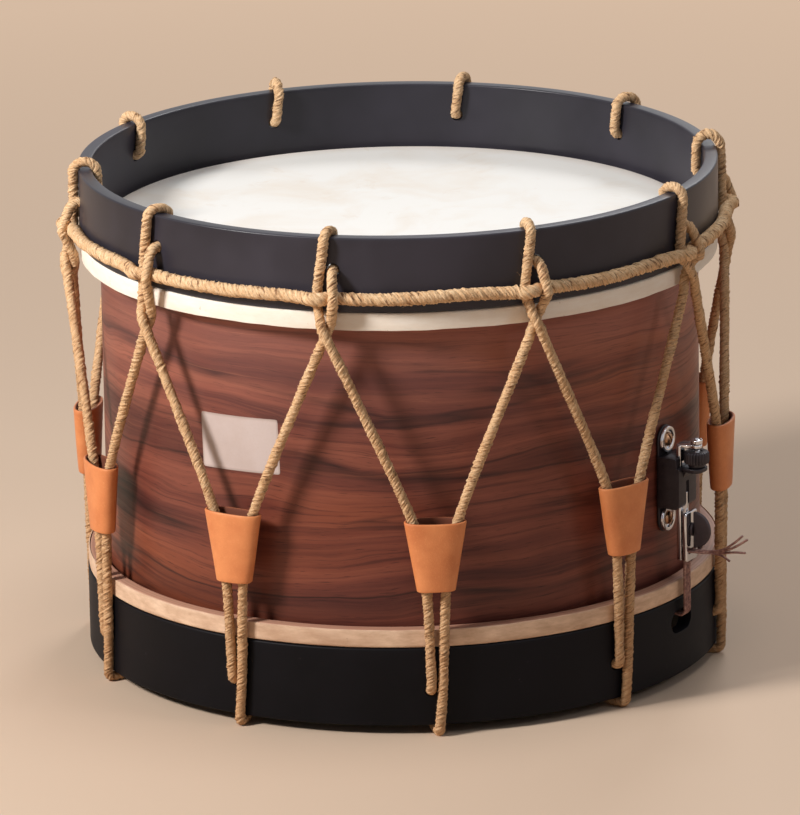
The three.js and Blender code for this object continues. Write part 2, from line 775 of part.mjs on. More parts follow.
function slideGeometry() {
  const bar = block(slideInnerRadius, slideOuterRadius, slideWidth, slideBottomZ, flangeTopZ);
  const flangeBottomZ = flangeTopZ - flangeThickness;
  const outline = new THREE.Shape();
  outline.moveTo(slideInnerRadius, -slideWidth / 2);
  outline.absarc(studRadius, 0, flangeEyeDiameter / 2, -Math.PI / 2, Math.PI / 2);
  outline.lineTo(slideInnerRadius, slideWidth / 2);
  const flange = levelSlab(outline, flangeBottomZ, flangeTopZ);
  const studHole = verticalCylinder(
    studDiameter + clearance * 2, studRadius, flangeBottomZ - overrun, flangeTopZ + overrun,
  );
  const clampHole = clampScrewHole(slideInnerRadius, slideOuterRadius);
  return cut(join([bar, flange]), [studHole, clampHole]);
}

// The stud hangs from the flange by its hexagon nut.
function studGeometry() {
  const nutBottomZ = flangeTopZ + clearance;
  const nutTopZ = nutBottomZ + studNutHeight;
  const nutCorners = studNutWidth / Math.cos(Math.PI / 6);
  return join([
    verticalCylinder(studDiameter, studRadius, shelfTopZ - shelfThickness, nutTopZ + studTip),
    verticalCylinder(nutCorners, studRadius, nutBottomZ, nutTopZ, 6),
  ]);
}

// The knurled tension nut is built round its own axis.
function knobGeometry() {
  const points = [];
  for (let i = 0; i < knobTeeth * 2; i++) {
    const radius = knobDiameter / 2 - (i % 2) * knobToothDepth;
    const angle = i * Math.PI / knobTeeth;
    points.push(new THREE.Vector2(radius * Math.cos(angle), radius * Math.sin(angle)));
  }
  const headHeight = knobHeight - knobNeckHeight;
  const outline = new THREE.Shape(points);
  const head = new THREE.ExtrudeGeometry(outline, { depth: headHeight, bevelEnabled: false });
  head.translate(0, 0, knobNeckHeight);
  const neck = verticalCylinder(knobNeckDiameter, 0, 0, knobNeckHeight + clearance, holeSides * 2);
  const bore = verticalCylinder(studDiameter + clearance * 2, 0, -overrun, knobHeight + overrun);
  return cut(join([head, neck]), [bore]);
}

function clampPlateGeometry() {
  const plate = block(clampInnerRadius, clampOuterRadius, clampWidth, slideBottomZ, clampTopZ);
  const eye = facingSlab(
    capsule(eyeWidth, eyeHeight, eyeZ), clampInnerRadius - overrun, clampOuterRadius + overrun,
  );
  return cut(plate, [eye, clampScrewHole(clampInnerRadius, clampOuterRadius)]);
}

// The clamp screw has a half-moon wing. It is built round its own axis, with the tip inwards.
function clampScrewGeometry() {
  const hubInner = clampOuterRadius + clearance;
  const hubOuter = hubInner + clampHubLength;
  const moon = new THREE.Shape();
  moon.absarc(hubOuter - clearance, 0, wingRadius, -Math.PI / 2, Math.PI / 2);
  const wing = new THREE.ExtrudeGeometry(moon, {
    depth: wingThickness, bevelEnabled: false, curveSegments: holeSides / 2,
  });
  wing.rotateX(Math.PI / 2).translate(0, wingThickness / 2, 0);
  return join([
    radialCylinder(clampScrewDiameter, slideInnerRadius, hubInner + clearance, 0, 0),
    radialCylinder(clampHubDiameter, hubInner, hubOuter, 0, 0),
    wing,
  ]);
}

// Butt pieces, built on +X and turned to the far side
function buttBracketGeometry() {
  const height = buttUpperScrewZ - buttLowerScrewZ + plateWidth;
  const outline = capsule(plateWidth, height, (buttUpperScrewZ + buttLowerScrewZ) / 2);
  const plate = facingSlab(outline, plateBackRadius, plateFrontRadius);
  const standoff = block(
    plateBackRadius, slideOuterRadius, buttBlockWidth, buttBlockBottomZ, buttBlockTopZ,
  );
  const holes = [buttUpperScrewZ, buttLowerScrewZ].map((z) => (
    radialCylinder(screwShank + clearance * 2, plateBackRadius - overrun, plateFrontRadius + overrun, 0, z)
  ));
  const threads = buttScrewPlaces.map(([across, z]) => radialCylinder(
    buttScrewDiameter + clearance * 2, bodyBackRadius, slideOuterRadius + overrun, across, z,
  ));
  return cut(join([plate, standoff]), [...holes, ...threads]);
}

function buttClampGeometry() {
  const plate = block(clampInnerRadius, clampOuterRadius, buttBlockWidth, buttBlockBottomZ, buttBlockTopZ);
  return cut(plate, buttScrewPlaces.map(([across, z]) => radialCylinder(
    buttScrewDiameter + clearance * 2, clampInnerRadius - overrun, clampOuterRadius + overrun, across, z,
  )));
}

// One snare: its tail outside the clamp's eye, down to the gate, under the head to the far
// gate and up into the butt clamp.
function snareRoute(across, tail) {
  const bendCentre = [snareRunRadius + eyeBendRadius, eyeZ - eyeBendRadius];
  const gateCentre = [snareRunRadius - snareBendRadius, gateSnareZ + snareBendRadius];
  const bedReach = shellRadius - bearingBevelHeight;
  const side = [across, across];
  const mirrored = (points) => points.map(({ x, y, z }) => new THREE.Vector3(-x, y, z)).reverse();
  const gateBend = bend(0, gateCentre, snareBendRadius, [0, -78], side);
  const bed = at(0, bedReach, across, snareBedZ);
  const tailPoints = tail.map(([out, up]) => at(0, snareRunRadius + out, across, eyeZ + up)).reverse();
  return [
    ...tailPoints,
    ...bend(0, bendCentre, eyeBendRadius, [90, 180], side),
    ...gateBend,
    bed,
    ...mirrored([...gateBend, bed]),
    at(0, -snareRunRadius, across, buttBlockTopZ + buttSnareEnd),
  ];
}

// Assembly
add(drum, 'shell', shellGeometry(), walnut);
add(drum, 'batter_head', headGeometry(batterHeadZ, 1), skin);
add(drum, 'snare_head', headGeometry(snareHeadZ, -1), skin);
add(drum, 'upper_flesh_hoop', fleshHoopGeometry(batterHeadZ, 1), hoopWood);
add(drum, 'lower_flesh_hoop', fleshHoopGeometry(snareHeadZ, -1), hoopWood);
add(drum, 'upper_counterhoop', topHoopGeometry(), blackLacquer);
add(drum, 'lower_counterhoop', bottomHoopGeometry(), blackLacquer);

const tab = tabGeometry();
for (let k = 0; k < hookCount; k++) {
  const azimuth = (k + 0.5) * hookPitch;
  const strands = [['right', rightStrand], ['left', leftStrand]];
  for (const [side, route] of strands) {
    const strand = strandGeometry(route(azimuth, tabLifts[k]), azimuth);
    add(drum, `tension_rope_${k + 1}_${side}`, strand, hemp);
  }
  const station = new THREE.Group();
  station.rotation.z = radians(azimuth);
  drum.add(station);
  const mesh = add(station, `tension_tab_${k + 1}`, tab.clone(), leather);
  mesh.position.set(tabRopeRadius, 0, lowestTabZ + tabLifts[k]);
}
add(drum, 'girth_rope', tube(girthRoute(), girthDiameter, ropeSides), hemp);

add(drum, 'strainer_base_plate', basePlateGeometry(), blackMetal);
add(drum, 'strainer_cup_upper', cupGeometry(upperCupZ), chrome);
add(drum, 'strainer_cup_lower', cupGeometry(lowerCupZ), chrome);
add(drum, 'strainer_body', bodyGeometry(), blackMetal);
add(drum, 'snare_slide', slideGeometry(), chrome);
add(drum, 'tension_stud', studGeometry(), chrome);
const knob = add(drum, 'tension_nut', knobGeometry(), blackMetal);
knob.position.set(studRadius, 0, knobBottomZ);
add(drum, 'snare_clamp_plate', clampPlateGeometry(), chrome);
const clampScrew = add(drum, 'snare_clamp_screw', clampScrewGeometry(), blackMetal);
clampScrew.position.z = clampScrewZ;

const butt = new THREE.Group();
butt.rotation.z = Math.PI;
drum.add(butt);
add(butt, 'butt_bracket', buttBracketGeometry(), chrome);
add(butt, 'butt_clamp_plate', buttClampGeometry(), chrome);
buttScrewPlaces.forEach((place, i) => {
  const screw = screwGeometry(
    place, clampOuterRadius + clearance, buttScrewDiameter, buttScrewHead, buttScrewHeadHeight,
    bodyBackRadius + clearance,
  );
  add(butt, `butt_clamp_screw_${i + 1}`, screw, chrome);
});

const mountingScrews = [
  [drum, 'strainer_screw_upper', upperCupZ, cupFloorRadius],
  [drum, 'strainer_screw_lower', lowerCupZ, cupFloorRadius],
  [butt, 'butt_screw_upper', buttUpperScrewZ, plateFrontRadius],
  [butt, 'butt_screw_lower', buttLowerScrewZ, plateFrontRadius],
];
for (const [parent, name, z, seatRadius] of mountingScrews) {
  const screw = screwGeometry(
    [0, z], seatRadius + clearance, screwShank, screwHead, screwHeadHeight,
    plateBackRadius - screwDepth,
  );
  add(parent, name, screw, chrome);
}

tailSteps.forEach((tail, k) => {
  const across = (k - (tailSteps.length - 1) / 2) * snareSpacing;
  add(drum, `snare_${k + 1}`, tube(snareRoute(across, tail), snareDiameter, snareSides), gut);
});

export default drum;
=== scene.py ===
"""Blender scene of the rope-tensioned snare drum: every visible surface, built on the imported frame."""

import json
from math import acos, asin, atan2, ceil, copysign, cos, degrees, hypot, pi, radians, sin, sqrt, tan

import bmesh
import bpy
import numpy as np
from mathutils import Matrix, Vector


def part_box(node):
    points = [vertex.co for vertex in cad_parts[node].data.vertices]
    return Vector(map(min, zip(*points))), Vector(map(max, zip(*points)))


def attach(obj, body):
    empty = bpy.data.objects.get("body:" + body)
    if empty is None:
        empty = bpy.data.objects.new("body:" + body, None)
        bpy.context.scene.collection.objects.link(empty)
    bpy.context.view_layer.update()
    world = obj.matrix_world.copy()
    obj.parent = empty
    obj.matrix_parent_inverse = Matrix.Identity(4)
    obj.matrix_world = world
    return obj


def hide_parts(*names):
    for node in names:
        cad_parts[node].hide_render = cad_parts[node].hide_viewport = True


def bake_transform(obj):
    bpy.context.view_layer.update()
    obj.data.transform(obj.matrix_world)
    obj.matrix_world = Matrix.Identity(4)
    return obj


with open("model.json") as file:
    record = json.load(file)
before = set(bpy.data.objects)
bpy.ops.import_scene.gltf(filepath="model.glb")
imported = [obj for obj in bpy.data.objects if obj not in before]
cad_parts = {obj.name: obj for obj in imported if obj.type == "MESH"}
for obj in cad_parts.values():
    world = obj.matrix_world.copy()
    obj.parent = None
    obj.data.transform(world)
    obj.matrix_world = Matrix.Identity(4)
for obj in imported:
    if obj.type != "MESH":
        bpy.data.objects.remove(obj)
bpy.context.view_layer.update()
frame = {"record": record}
BODY_OF = {
    node: body for body, nodes in frame["record"]["behaviour"]["bodies"].items() for node in nodes
}

MM = 0.001
CLEARANCE = 0.3
rng = np.random.default_rng(17)

# Directions, in degrees round the drum
STRAINER_AZIMUTH = -45.0
SEAM_AZIMUTH = 135.0
CAMERA_AZIMUTH = -104.4
HOOKS = 10
PITCH = 360.0 / HOOKS


def levels(node):
    """A node's lowest and highest z and its outer radius, in millimetres."""
    low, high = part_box(node)
    return low.z / MM, high.z / MM, (high.x - low.x) / 2 / MM


# Levels and radii, read from the frame, in millimetres
SHELL_BOTTOM, SHELL_TOP, SHELL_R = levels("shell")
TOP_HOOP_BOTTOM, RIM_TOP, HOOP_R = levels("upper_counterhoop")
RIM_BOTTOM, BOTTOM_HOOP_TOP, _ = levels("lower_counterhoop")
_, BATTER_Z, BAND_R = levels("batter_head")
SNARE_HEAD_Z, _, _ = levels("snare_head")
TABS = [levels(f"tension_tab_{k + 1}")[:2] for k in range(HOOKS)]
GIRTH_Z = sum(levels("girth_rope")[:2]) / 2

# Sizes that the pieces share with the frame, in millimetres
SHELL_WALL = 7.0
HOOP_WALL = 8.0
HOOP_EDGE = 1.0
SKIN = 0.7
COLLAR = 6.3
LAP = 10.6
BAND_INNER_R = 180.9
ROPE_R = 2.9
ROPE_D = 2 * ROPE_R
GIRTH_R = 3.7
HOLE_R = 3.8
TOP_HOLE_Z = RIM_TOP - 19
BOTTOM_HOLE_Z = RIM_BOTTOM + 21.5
HOLE_ACROSS = 3.4
GIRTH_ACROSS = 5.9
RIM_ACROSS = 1.2
CROSSING_Z = TOP_HOOP_BOTTOM - 11.9
TAB_ROPE_R = 194.0
TAB_TOP_ACROSS = 12.0
TAB_BOTTOM_ACROSS = 5.1
TAB_MIDDLE_ACROSS = (TAB_TOP_ACROSS + TAB_BOTTOM_ACROSS) / 2
TAB_WALL = 2.0
HOOP_INNER_R = HOOP_R - HOOP_WALL
HOOP_MID_R = HOOP_R - HOOP_WALL / 2
RIM_GAP = ROPE_R + CLEARANCE
OUTSIDE_R = HOOP_R + RIM_GAP
INSIDE_R = HOOP_INNER_R - RIM_GAP
OVER_GIRTH_R = HOOP_R + CLEARANCE * 2 + GIRTH_R * 2 + ROPE_R
GATE_Z = BOTTOM_HOOP_TOP - 14.4
GATE_HALF_WIDTH = 12.0
GATE_HALF_HEIGHT = 7.0


# Helpers

def at(azimuth, radial, across, z):
    """A point in millimetres, beside a vertical plane through the axis: out, across, up."""
    a = radians(azimuth)
    return np.array([
        radial * cos(a) - across * sin(a),
        radial * sin(a) + across * cos(a),
        z,
    ])


def around(count):
    """Each place on a closed ring, with the next one."""
    return [(i, (i + 1) % count) for i in range(count)]


def border(left, right, low, high):
    """The places round a block of a grid, anticlockwise from its lower left."""
    places = [(k, low) for k in range(left, right)] + [(right, row) for row in range(low, high)]
    places += [(k, high) for k in range(right, left, -1)] + [(left, row) for row in range(high, low, -1)]
    return places


def link(name, data):
    """A new object in the scene, which holds a mesh, a lamp or a camera."""
    obj = bpy.data.objects.new(name, data)
    bpy.context.scene.collection.objects.link(obj)
    return obj


def shade(mesh, material, sharp=None):
    """Smooth shading, split at edges that are sharper than an angle in degrees."""
    mesh.materials.append(material)
    mesh.polygons.foreach_set("use_smooth", np.ones(len(mesh.polygons), bool))
    if sharp is not None:
        mesh.set_sharp_from_angle(angle=radians(sharp))


def make_object(name, verts, faces, material, uvs=None, sharp=None):
    """A smooth-shaded mesh object from points in millimetres."""
    mesh = bpy.data.meshes.new(name)
    mesh.from_pydata((np.asarray(verts) * MM).tolist(), [], faces)
    shade(mesh, material, sharp)
    if uvs is not None:
        loops = np.zeros(len(mesh.loops), int)
        mesh.loops.foreach_get("vertex_index", loops)
        mesh.uv_layers.new(name="rope").data.foreach_set("uv", np.asarray(uvs)[loops].ravel())
    mesh.validate()
    mesh.update()
    return link(name, mesh)


def store(obj, name, values):
    """Keeps a value for each point of a mesh, which its material reads."""
    layer = obj.data.attributes.new(name, "FLOAT", "POINT")
    layer.data.foreach_set("value", np.array(values, np.float32))


def dress(obj, *nodes, ride=True):
    """Stands a piece in for CAD nodes: hides them and, when it rides, attaches the piece to their body."""
    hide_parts(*nodes)
    if ride:
        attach(obj, BODY_OF[nodes[0]])


def round_profile(corners, radii, steps=5):
    """A closed outline with each corner rounded by its radius."""
    points = []
    for i, r in enumerate(radii):
        before, here, after = (np.array(corners[(i + k) % len(corners)], float) for k in (-1, 0, 1))
        if r == 0:
            points.append(here)
            continue
        a = (before - here) / np.linalg.norm(before - here)
        b = (after - here) / np.linalg.norm(after - here)
        half = acos(max(-1.0, min(1.0, float(a @ b)))) / 2
        reach = r / tan(half)
        centre = here + (a + b) / np.linalg.norm(a + b) * r / sin(half)
        start, end = here + a * reach - centre, here + b * reach - centre
        sweep = atan2(start[0] * end[1] - start[1] * end[0], start @ end)
        for k in range(steps + 1):
            c, s = cos(sweep * k / steps), sin(sweep * k / steps)
            points.append(centre + np.array([start[0] * c - start[1] * s, start[0] * s + start[1] * c]))
    return np.array(points)


RING_STEPS = 360


def revolve(name, profile, material, wobble=None, sharp=40):
    """A ring turned from a closed outline of (radius, z). Its points run anticlockwise."""
    profile = np.asarray(profile, float)
    n = len(profile)
    angles = np.arange(RING_STEPS) * 2 * pi / RING_STEPS
    rings = np.repeat(profile[None], RING_STEPS, 0)
    if wobble is not None:
        wobble(rings[:, :, 0], rings[:, :, 1], angles)
    radius = rings[:, :, 0]
    x, y = radius * np.cos(angles)[:, None], radius * np.sin(angles)[:, None]
    verts = np.stack([x, y, rings[:, :, 1]], -1).reshape(-1, 3)
    faces = [
        (i * n + k, j * n + k, j * n + m, i * n + m) for i, j in around(RING_STEPS) for k, m in around(n)
    ]
    return make_object(name, verts, faces, material, sharp=sharp)


def cylinder_wave(angles, waves):
    """A smooth irregular function round a circle: (count, size, phase) for each wave."""
    return sum(size * np.sin(count * angles + phase) for count, size, phase in waves)


# Materials

def srgb(r, g, b):
    """A colour given as 0-255 display values, as the linear values that a shader takes."""
    linear = [((c / 255 + 0.055) / 1.055) ** 2.4 if c > 10 else c / 255 / 12.92 for c in (r, g, b)]
    return (*linear, 1.0)


class Nodes:
    """Builds a node tree. Its colours are triples of 0-255 display values."""

    def __init__(self, tree):
        self.tree = tree

    def put(self, socket, value):
        if isinstance(value, bpy.types.NodeSocket):
            self.tree.links.new(value, socket)
        else:
            socket.default_value = srgb(*value) if socket.type == "RGBA" else value

    def node(self, kind, inputs=None, **settings):
        made = self.tree.nodes.new("ShaderNode" + kind)
        for key, value in settings.items():
            setattr(made, key, value)
        for key, value in (inputs or {}).items():
            self.put(made.inputs[key], value)
        return made

    def math(self, operation, a, b=0.0):
        return self.node("Math", {0: a, 1: b}, operation=operation).outputs[0]

    def total(self, *terms):
        """The sum of two values, each times its weight."""
        return self.math("ADD", *[self.math("MULTIPLY", value, weight) for value, weight in terms])

    def map(self, value, low, high, out_low=0.0, out_high=1.0):
        return self.node("MapRange", {
            0: value, 1: low, 2: high, 3: out_low, 4: out_high,
        }).outputs[0]

    def noise(self, vector, scale, detail=4.0, roughness=0.55, distortion=0.0):
        """Its scale is one number, or one for each of two or three directions."""
        if isinstance(scale, tuple):
            vector = self.node("Mapping", {"Vector": vector, "Scale": (*scale, 1.0)[:3]}).outputs[0]
            scale = 1.0
        return self.node("TexNoise", {
            "Vector": vector, "Scale": scale, "Detail": detail,
            "Roughness": roughness, "Distortion": distortion,
        }).outputs["Fac"]

    def ramp(self, value, stops):
        """stops: (position, colour) pairs, or (position, grey level)."""
        made = self.node("ValToRGB", {"Fac": value})
        elements = made.color_ramp.elements
        while len(elements) < len(stops):
            elements.new(0.5)
        for element, (position, color) in zip(elements, stops):
            element.position = position
            element.color = srgb(*color) if isinstance(color, tuple) else (color, color, color, 1.0)
        return made.outputs[0]

    def mix(self, factor, a, b, blend="MIX"):
        return self.node(
            "Mix", {0: factor, 6: a, 7: b}, data_type="RGBA", blend_type=blend,
        ).outputs[2]

    def over(self, color, stains):
        """A colour with others laid over it in turn: (how much, colour)."""
        for share, stain in stains:
            color = self.mix(share, color, stain)
        return color


class Material(Nodes):
    """A procedural material on Blender's usual shader."""

    def __init__(self, name, color, roughness, metallic=0.0, specular=0.5):
        self.material = bpy.data.materials.new(name)
        self.material.use_nodes = True
        super().__init__(self.material.node_tree)
        self.shader = self.tree.nodes["Principled BSDF"]
        self.join({
            "Base Color": color, "Roughness": roughness, "Metallic": metallic, "Specular IOR Level": specular,
        })
        self.coords = self.node("TexCoord").outputs["Object"]

    def join(self, inputs):
        """Gives the shader its values, but for those that are None."""
        for socket, value in inputs.items():
            if value is not None:
                self.put(self.shader.inputs[socket], value)

    def stored(self, name):
        return self.node("Attribute", attribute_name=name).outputs["Fac"]

    def cylinder(self, radius=SHELL_R):
        """The place unrolled round the drum, as arc length and height, and its radius and height."""
        turned = self.node("Mapping", {
            "Vector": self.coords, "Rotation": (0.0, 0.0, radians(180.0 - SEAM_AZIMUTH)),
        }).outputs[0]
        x, y, z = self.node("SeparateXYZ", {0: turned}).outputs
        arc = self.math("MULTIPLY", self.math("ARCTAN2", y, x), radius * MM)
        out = self.math("SQRT", self.total((x, x), (y, y)))
        return self.node("CombineXYZ", {0: arc, 1: z}).outputs[0], out, z

    def surface(self, color, rough, height, strength, distance):
        """Joins what varies over the surface to the shader, and gives the material."""
        bump = self.node("Bump", {"Height": height, "Strength": strength, "Distance": distance})
        self.join({"Base Color": color, "Roughness": rough, "Normal": bump.outputs[0]})
        return self.material


def walnut_material():
    """Sliced veneer: an orange-brown ground, soft dark clouds and wavy dark lines, darker below."""
    m = Material("walnut_veneer", (136, 80, 62), 0.42, specular=0.3)
    unrolled, _, z = m.cylinder()
    slow = m.noise(unrolled, (3.2, 7.0), 2.0, 0.5)
    quick = m.noise(unrolled, (14.0, 40.0), 3.0, 0.5)
    lift = m.math("ADD", m.map(slow, 0.0, 1.0, -0.026, 0.026), m.map(quick, 0.0, 1.0, -0.004, 0.004))
    shift = m.node("CombineXYZ", {1: lift}).outputs[0]
    waved = m.node("VectorMath", {0: unrolled, 1: shift}, operation="ADD").outputs[0]
    growth = m.noise(waved, (0.9, 14.0), 4.0, 0.5)
    streak = m.noise(waved, (2.4, 95.0), 4.0, 0.6)
    fine = m.noise(waved, (9.0, 520.0), 4.0, 0.65)
    pores = m.noise(waved, (75.0, 1500.0), 2.0, 0.5)
    patch = m.noise(waved, (2.6, 9.0), 2.0, 0.5)
    ground = m.ramp(streak, [
        (0.28, (104, 56, 50)), (0.42, (140, 80, 66)), (0.58, (166, 100, 80)), (0.74, (132, 76, 64)),
    ])
    warm = m.ramp(streak, [
        (0.28, (128, 66, 42)), (0.42, (168, 92, 58)), (0.58, (188, 108, 68)), (0.74, (156, 84, 52)),
    ])
    first, second = (m.math("ABSOLUTE", m.math("SUBTRACT", growth, level)) for level in (0.45, 0.57))
    line = m.math("MULTIPLY", m.map(first, 0.0, 0.013, 0.85, 0.0), m.map(streak, 0.42, 0.62, 1.0, 0.2))
    color = m.over(m.mix(m.map(patch, 0.48, 0.64, 0.0, 0.8), ground, warm), [
        (m.ramp(growth, [(0.32, 0.95), (0.42, 0.55), (0.50, 0.05), (0.58, 0.0), (0.68, 0.7)]), (74, 37, 36)),
        (line, (34, 17, 21)),
        (m.map(second, 0.0, 0.010, 0.5, 0.0), (44, 22, 25)),
        (m.ramp(fine, [(0.34, 0.5), (0.48, 0.0)]), (68, 36, 34)),
        (m.ramp(fine, [(0.58, 0.0), (0.74, 0.35)]), (186, 122, 92)),
        (m.ramp(pores, [(0.3, 0.55), (0.38, 0.0)]), (40, 22, 22)),
    ])
    # Darker towards the bottom. Near the top the veneer is tinted paler and pinker, which is a painted sheen.
    low = m.map(z, (SHELL_BOTTOM + 80) * MM, (SHELL_TOP - 20) * MM, 0.66, 0.0)
    high = m.map(z, (SHELL_TOP - 90) * MM, SHELL_TOP * MM, 0.0, 0.2)
    color = m.over(color, [(low, m.mix(1.0, color, (150, 120, 122), "MULTIPLY")), (high, (196, 138, 128))])
    relief = m.total((fine, 0.6), (pores, 0.4))
    return m.surface(color, m.map(fine, 0.3, 0.7, 0.50, 0.38), relief, 0.10, 0.0004)


def lacquer_material(name, dark, light, roughness, gloss):
    m = Material(name, dark, roughness, specular=gloss)
    unrolled, _, _ = m.cylinder(HOOP_R)
    grain = m.noise(unrolled, (12.0, 190.0), 4.0, 0.6)
    cloud = m.noise(m.coords, 14.0, 3.0)
    wear = m.noise(m.coords, 160.0, 3.0, 0.7)
    color = m.mix(m.map(cloud, 0.35, 0.7), dark, light)
    color = m.mix(m.ramp(wear, [(0.70, 0.0), (0.80, 0.3)]), color, (84, 76, 84))
    return m.surface(color, m.map(cloud, 0.3, 0.7, roughness - 0.06, roughness + 0.08), grain, 0.12, 0.0003)


def skin_material():
    """Calf skin: white where it is stretched, cream and papery where it laps its hoop."""
    m = Material("calf_skin", (240, 236, 230), 0.55)
    unrolled, radius, z = m.cylinder(BAND_R)
    mottle = m.noise(m.coords, 16.0, 5.0, 0.6, 0.6)
    veins = m.noise(m.coords, 42.0, 6.0, 0.65, 1.2)
    speck = m.noise(m.coords, 260.0, 3.0, 0.6)
    fibre = m.noise(unrolled, (60.0, 190.0), 5.0, 0.65)
    blot = m.noise(unrolled, (9.0, 30.0))
    head = m.over(m.mix(m.map(mottle, 0.45, 0.72), (241, 238, 233), (234, 224, 212)), [
        (m.ramp(veins, [(0.60, 0.0), (0.72, 0.35)]), (222, 205, 188)),
        (m.map(radius, (SHELL_R - 14) * MM, (SHELL_R - 1) * MM, 0.0, 0.45), (226, 205, 190)),
    ])
    # The lapped band's colours go by height. The upper head's band is painted paler, which is painted light
    # that offsets the shade under its counterhoop and girth rope.
    upper = m.map(z, BOTTOM_HOOP_TOP * MM, TOP_HOOP_BOTTOM * MM)
    pale, deep, stained = (m.mix(upper, below, above) for below, above in (
        ((232, 198, 168), (251, 244, 233)),
        ((190, 152, 122), (243, 231, 215)),
        ((172, 132, 104), (233, 214, 192)),
    ))
    band = m.over(m.mix(m.map(fibre, 0.3, 0.7), pale, deep), [
        (m.ramp(blot, [(0.55, 0.0), (0.72, 0.6)]), stained),
        (m.ramp(speck, [(0.68, 0.0), (0.76, 0.55)]), (150, 108, 84)),
    ])
    lapped = m.map(radius, (SHELL_R + 1) * MM, (SHELL_R + 2.5) * MM)
    return m.surface(
        m.mix(lapped, head, band), m.map(lapped, 0.0, 1.0, 0.5, 0.72),
        m.total((veins, 0.3), (fibre, lapped)), 0.22, 0.0006,
    )


def bare_wood_material():
    m = Material("bare_hoop_wood", (205, 160, 130), 0.6)
    unrolled, radius, _ = m.cylinder(BAND_INNER_R)
    grain = m.noise(unrolled, (6.0, 260.0), 4.0, 0.6)
    rings = m.math("SINE", m.math("MULTIPLY", radius, 2600.0))
    color = m.mix(m.map(grain, 0.3, 0.7), (204, 158, 132), (170, 120, 98))
    color = m.mix(m.map(rings, -1.0, 1.0, 0.0, 0.35), color, (146, 98, 80))
    return m.surface(color, None, grain, 0.2, 0.0004)


def rope_material():
    """Pale golden fibre. U runs round the rope and V along it, in rope diameters."""
    m = Material("natural_rope", (230, 188, 140), 0.95, specular=0.15)
    uv = m.node("UVMap", uv_map="rope").outputs[0]
    yarn = m.noise(uv, (13.0, 3.4), 6.0, 0.75, 0.6)
    fleck = m.noise(uv, (5.0, 1.3), 3.0, 0.6)
    blot = m.noise(m.coords, 60.0, 4.0, 0.6)
    speck = m.noise(m.coords, 1100.0, 3.0, 0.7)
    height = m.node("SeparateXYZ", {0: m.coords}).outputs[2]
    fibre = m.ramp(yarn, [
        (0.28, (168, 124, 92)), (0.42, (222, 181, 137)), (0.56, (244, 210, 168)), (0.74, (253, 233, 202)),
    ])
    color = m.over(fibre, [
        (m.map(blot, 0.35, 0.7, 0.0, 0.4), (196, 142, 92)),
        # Dark flecks: painted shade, standing in for the shadows in the twist.
        (m.ramp(fleck, [(0.36, 0.8), (0.43, 0.0)]), (112, 70, 46)),
        (m.ramp(speck, [(0.30, 0.7), (0.43, 0.0)]), (120, 80, 52)),
        # Darker towards the floor: painted shade.
        (m.map(height, 0.0, 0.26, 0.5, 0.0), (166, 116, 74)),
        # Darker in the grooves between the plies: painted shade.
        (m.map(m.stored("groove"), 0.0, 0.5, 0.35, 0.0), (120, 80, 56)),
    ])
    return m.surface(color, None, m.total((yarn, 1.0), (speck, 0.5)), 0.6, 0.0005)


def leather_material():
    m = Material("tan_leather", (214, 134, 80), 0.5, specular=0.4)
    grain = m.node("TexVoronoi", {"Vector": m.coords, "Scale": 1500.0}).outputs["Distance"]
    cloud = m.noise(m.coords, 55.0, 4.0, 0.55)
    fine = m.noise(m.coords, 700.0, 3.0, 0.6)
    # The inside of the tab is painted dark brown: painted shade in its hollow.
    inside = m.stored("inside")
    color = m.over(m.mix(m.map(cloud, 0.32, 0.68), (224, 142, 88), (206, 122, 72)), [
        (m.map(fine, 0.55, 0.75, 0.0, 0.35), (232, 162, 106)), (inside, (112, 62, 44)),
    ])
    relief = m.total((grain, 1.0), (fine, 0.6))
    return m.surface(color, m.map(inside, 0.0, 1.0, 0.48, 0.85), relief, 0.22, 0.0004)


def gut_material():
    """Amber and brown gut, a little pink, mottled darker and paler."""
    m = Material("gut_snare", (158, 114, 100), 0.45)
    fibre = m.noise(m.coords, 420.0, 4.0, 0.6)
    color = m.ramp(fibre, [(0.3, (92, 58, 56)), (0.5, (146, 102, 92)), (0.7, (192, 150, 134))])
    return m.surface(color, None, fibre, 0.3, 0.0003)


def metal_material(name, color, roughness, marks=0.06):
    m = Material(name, color, roughness, 1.0)
    cloud = m.noise(m.coords, 240.0, 4.0, 0.6)
    scratch = m.noise(m.coords, (900.0, 900.0, 90.0), 3.0, 0.6)
    rough = m.map(cloud, 0.3, 0.7, max(roughness - marks, 0.03), roughness + marks)
    return m.surface(None, rough, scratch, 0.05, 0.0001)


def black_metal_material():
    m = Material("blackened_metal", (42, 37, 42), 0.38, 0.35)
    cloud = m.noise(m.coords, 180.0, 4.0, 0.6)
    wear = m.noise(m.coords, 520.0, 4.0, 0.7)
    color = m.mix(m.map(cloud, 0.3, 0.7), (34, 30, 36), (58, 50, 54))
    color = m.mix(m.ramp(wear, [(0.64, 0.0), (0.74, 0.6)]), color, (118, 108, 108))
    return m.surface(color, m.map(cloud, 0.3, 0.7, 0.30, 0.48), wear, 0.15, 0.0002)


def paper_material():
    """Plain glazed paper, a little yellowed by age, with painted shade that darkens it towards its edges."""
    m = Material("plain_paper", (204, 186, 178), 0.55)
    blot = m.noise(m.coords, 38.0, 4.0, 0.55)
    fibre = m.noise(m.coords, 700.0, 3.0, 0.6)
    color = m.mix(m.ramp(blot, [(0.45, 0.0), (0.7, 0.5)]), (198, 182, 177), (184, 164, 155))
    color = m.over(color, [
        (m.map(fibre, 0.5, 0.75, 0.0, 0.25), (186, 164, 152)),
        # Darker at the border: painted shade.
        (m.map(m.stored("edge"), 0.0, 1.0, 0.0, 0.55), (150, 124, 112)),
    ])
    return m.surface(color, None, fibre, 0.15, 0.0003)


